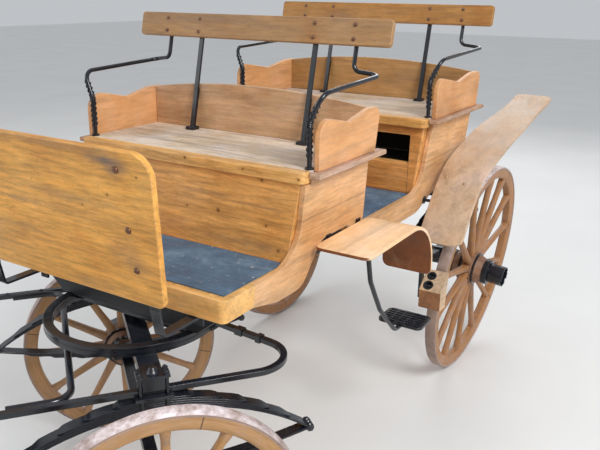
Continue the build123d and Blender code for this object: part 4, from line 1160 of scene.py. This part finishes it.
RIB_ROWS, RIB_COLUMNS = 6, 5
RIB_LOW = (0.524, -0.045, 0.5845)
RIB_SIZE = (0.028, 0.006, 0.0035)
RIB_PITCH = (0.034, 0.020)


def step_ribs():
    """Short raised ribs on the steps."""
    work = bmesh.new()
    for side in SIDES:
        for row in range(RIB_ROWS):
            for column in range(RIB_COLUMNS):
                low = Vector(RIB_LOW) + Vector((RIB_PITCH[0] * column, RIB_PITCH[1] * row, 0))
                box_into(work, low, low + Vector(RIB_SIZE), side=side)
    joined("step_ribs", work, black_iron)


REAR_BOX_FRONT = 0.361
REAR_BOX_LEAN = math.atan2(-0.012, 0.299)
STILE_X = 0.430
STILE_INSET = 0.0225
STILE_DEPTH = 0.062
STILE_PROUD = 0.006
RAIL_X = 0.4295
TRIM_FOOT, TRIM_HEAD = 0.006, 0.296
LOCKER_FOOT, LOCKER_HEAD = 0.132, 0.268
SHADE_LINING_LOW, SHADE_LINING_HIGH = (-0.440, 0.395, 1.120), (0.440, 0.648, 1.280)
SHADE_LINING = 0.008


def rear_box_frame():
    """Stiles shaped to the flared sides, and rails above and below the open locker."""
    work = bmesh.new()
    lean = Matrix.Translation((0, REAR_BOX_FRONT, FLOOR)) @ Matrix.Rotation(REAR_BOX_LEAN, 4, "X")
    foot_x, head_x = (side_x(FLOOR + z) - STILE_INSET for z in (TRIM_FOOT, TRIM_HEAD))
    outline = ((STILE_X, TRIM_FOOT), (foot_x, TRIM_FOOT), (head_x, TRIM_HEAD), (STILE_X, TRIM_HEAD))
    for side in SIDES:
        tube_through(work, [[lean @ Vector((side * x, y, z)) for x, z in outline]
                            for y in (-STILE_PROUD, STILE_DEPTH)])
    for low, high in ((LOCKER_HEAD, TRIM_HEAD), (TRIM_FOOT, LOCKER_FOOT)):
        box_into(work, (-RAIL_X, -0.0040, low), (RAIL_X, -0.0003, high), lean)
    round_edges(joined("rear_box_frame", work, frame_wood), 0.0012, 30, harden=False)


def locker_shade_lining():
    """Near black boards behind, below, above and beside the open locker, as painted shade inside it."""
    work = bmesh.new()
    (x0, y0, z0), (x1, y1, z1) = SHADE_LINING_LOW, SHADE_LINING_HIGH
    for low, high in (((x0, y1 - SHADE_LINING, z0), (x1, y1, z1)), ((x0, y0, z0), (x1, y1, z0 + SHADE_LINING)),
                      ((x0, y0, z1 - SHADE_LINING), (x1, y1, z1)), ((x0 - SHADE_LINING, y0, z0), (x0, y1, z1)),
                      ((x1, y0, z0), (x1 + SHADE_LINING, y1, z1))):
        box_into(work, low, high)
    joined("locker_shade_lining", work, shade_wood)


BOLSTER_THICKNESS = 0.038
BOLSTER_BOLTS = (0.0175, 0.0385)
LOOP_START = Vector((0.040, 0.274, 0))
LOOP_RUN = Vector((0.380, 0.251, 0)).normalized()
LOOP_REACH = 0.32
LOOP_CLIPS = ((0.35, 0.016), (0.62, 0.010))
BAR_BOLTS = (-0.120, -0.180, -0.300, -0.420, -0.520)
RING_RADIUS = 0.277
RING_BOLTS = 12
CAP_NUT = [(0.0, 0.020), (0.009, 0.020), (0.012, 0.016), (0.016, 0.006), (0.019, 0.004), (0.019, 0.0)]


def gear_clips():
    """U bolts over the bolster's ends, clips round the loops and bolts on the bars."""
    work = bmesh.new()
    bar_low, bar_high = (corner.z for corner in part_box("futchell_bars"))
    top = bar_high + BOLSTER_THICKNESS
    for side in SIDES:
        x = side * SPRING_SPREAD / 2
        for out in SIDES:
            for back in SIDES:
                spot = Vector((x + out * BOLSTER_BOLTS[0], back * BOLSTER_BOLTS[1], 0))
                foot, head, seat = (gear_frame @ (spot + Vector((0, 0, z)))
                                    for z in (bar_low - 0.016, top + 0.010, top + 0.008))
                rod_into(work, foot, head, CLIP_RADIUS)
                nut_into(work, seat, (0, 0, 1), 0.0095, 0.007)
        box_into(work, (x - 0.026, -0.048, top + 0.0003), (x + 0.026, 0.048, top + 0.008), gear_frame)
        lathe_at(work, gear_frame @ Vector((x, 0, top + 0.008)), (0, 0, 1), CAP_NUT)
        for share, half in LOOP_CLIPS:
            spot = LOOP_START + LOOP_RUN * share * LOOP_REACH
            turn = Matrix.Rotation(math.atan2(LOOP_RUN.y, side * LOOP_RUN.x), 4, "Z")
            place = gear_frame @ Matrix.Translation((side * spot.x, spot.y, 0)) @ turn
            box_into(work, (-half, -0.014, bar_low - 0.003), (half, 0.014, bar_high + 0.003), place)
        for y in BAR_BOLTS:
            dome_into(work, gear_frame @ Vector((x, y, bar_high)), (0, 0, 1), 0.006, 0.004)
    for index in range(RING_BOLTS):
        angle = 2 * math.pi * (index + 0.5) / RING_BOLTS
        spot = Vector((RING_RADIUS * math.cos(angle), RING_RADIUS * math.sin(angle), top))
        nut_into(work, gear_frame @ spot, (0, 0, -1), 0.008, 0.006)
    joined("gear_clips", work, black_iron, "front_gear")


replaced_board("low_backs", low_back_boards(), low_back_wood, 0.003)
replaced_board("rear_fenders", fender_boards(), fender_wood, 0.0015)
backrest_bolts()
twisted_irons()
dash_bolts()
dash_feet()
fender_bolts()
brake_sleeves()
step_ribs()
rear_box_frame()
locker_shade_lining()
gear_clips()


# Stage, lights and camera

FLOOR_REACH = 30
CAMERA_PLACE = (1.6487, -2.4786, 1.8530)
CAMERA_YAW, CAMERA_PITCH, CAMERA_ROLL = (math.radians(value) for value in (31.98, -18.20, 0.61))
CAMERA_LENS = 42.92

# Each lamp's place, aim, size and power
LAMPS = {
    "key": ((4.8, -2.2, 5.0), (0, 0, 0.8), 2.2, 300.0),
    "fill": ((-4.5, -4.0, 3.5), (0, 0, 0.8), 4.0, 80.0),
    "back": ((-1.5, 5.5, 4.5), (0, 0, 1.0), 3.5, 110.0),
}


def stage():
    mesh = bpy.data.meshes.new("floor")
    corners = [(FLOOR_REACH * x, FLOOR_REACH * y, 0) for x, y in ((-1, -1), (1, -1), (1, 1), (-1, 1))]
    mesh.from_pydata(corners, [], [(0, 1, 2, 3)])
    floor = bpy.data.objects.new("floor", mesh)
    bpy.context.scene.collection.objects.link(floor)
    graph = Graph("floor_paint")
    cloud = graph.noise(graph.coordinates, 1.2, 3, 0.5)
    tone = graph.ramp(cloud, (0.3, (0.80, 0.80, 0.79)), (0.7, (0.84, 0.84, 0.83)))
    graph.feed(graph.shader.inputs["Base Color"], tone)
    graph.shader.inputs["Roughness"].default_value = 0.9
    mesh.materials.append(graph.material)


def lights():
    world = bpy.data.worlds.new("studio")
    bpy.context.scene.world = world
    world.use_nodes = True
    background = world.node_tree.nodes["Background"]
    background.inputs["Color"].default_value = (0.93, 0.96, 1.0, 1)
    background.inputs["Strength"].default_value = 0.56
    for name, (place, aim, size, power) in LAMPS.items():
        lamp = bpy.data.lights.new(name, "AREA")
        lamp.size = size
        lamp.energy = power
        lamp_object = bpy.data.objects.new(name, lamp)
        lamp_object.location = place
        lamp_object.rotation_euler = (Vector(aim) - Vector(place)).to_track_quat("-Z", "Y").to_euler()
        bpy.context.scene.collection.objects.link(lamp_object)


def camera():
    lens = bpy.data.cameras.new("photo_camera")
    lens.lens = CAMERA_LENS
    lens.sensor_width = 36.0
    eye = bpy.data.objects.new("photo_camera", lens)
    bpy.context.scene.collection.objects.link(eye)
    yaw = Matrix.Rotation(CAMERA_YAW, 4, "Z")
    pitch = Matrix.Rotation(math.radians(90) + CAMERA_PITCH, 4, "X")
    roll = Matrix.Rotation(CAMERA_ROLL, 4, "Z")
    eye.matrix_world = Matrix.Translation(CAMERA_PLACE) @ yaw @ pitch @ roll
    bpy.context.scene.camera = eye


stage()
lights()
camera()
bpy.context.scene.view_settings.view_transform = "Standard"
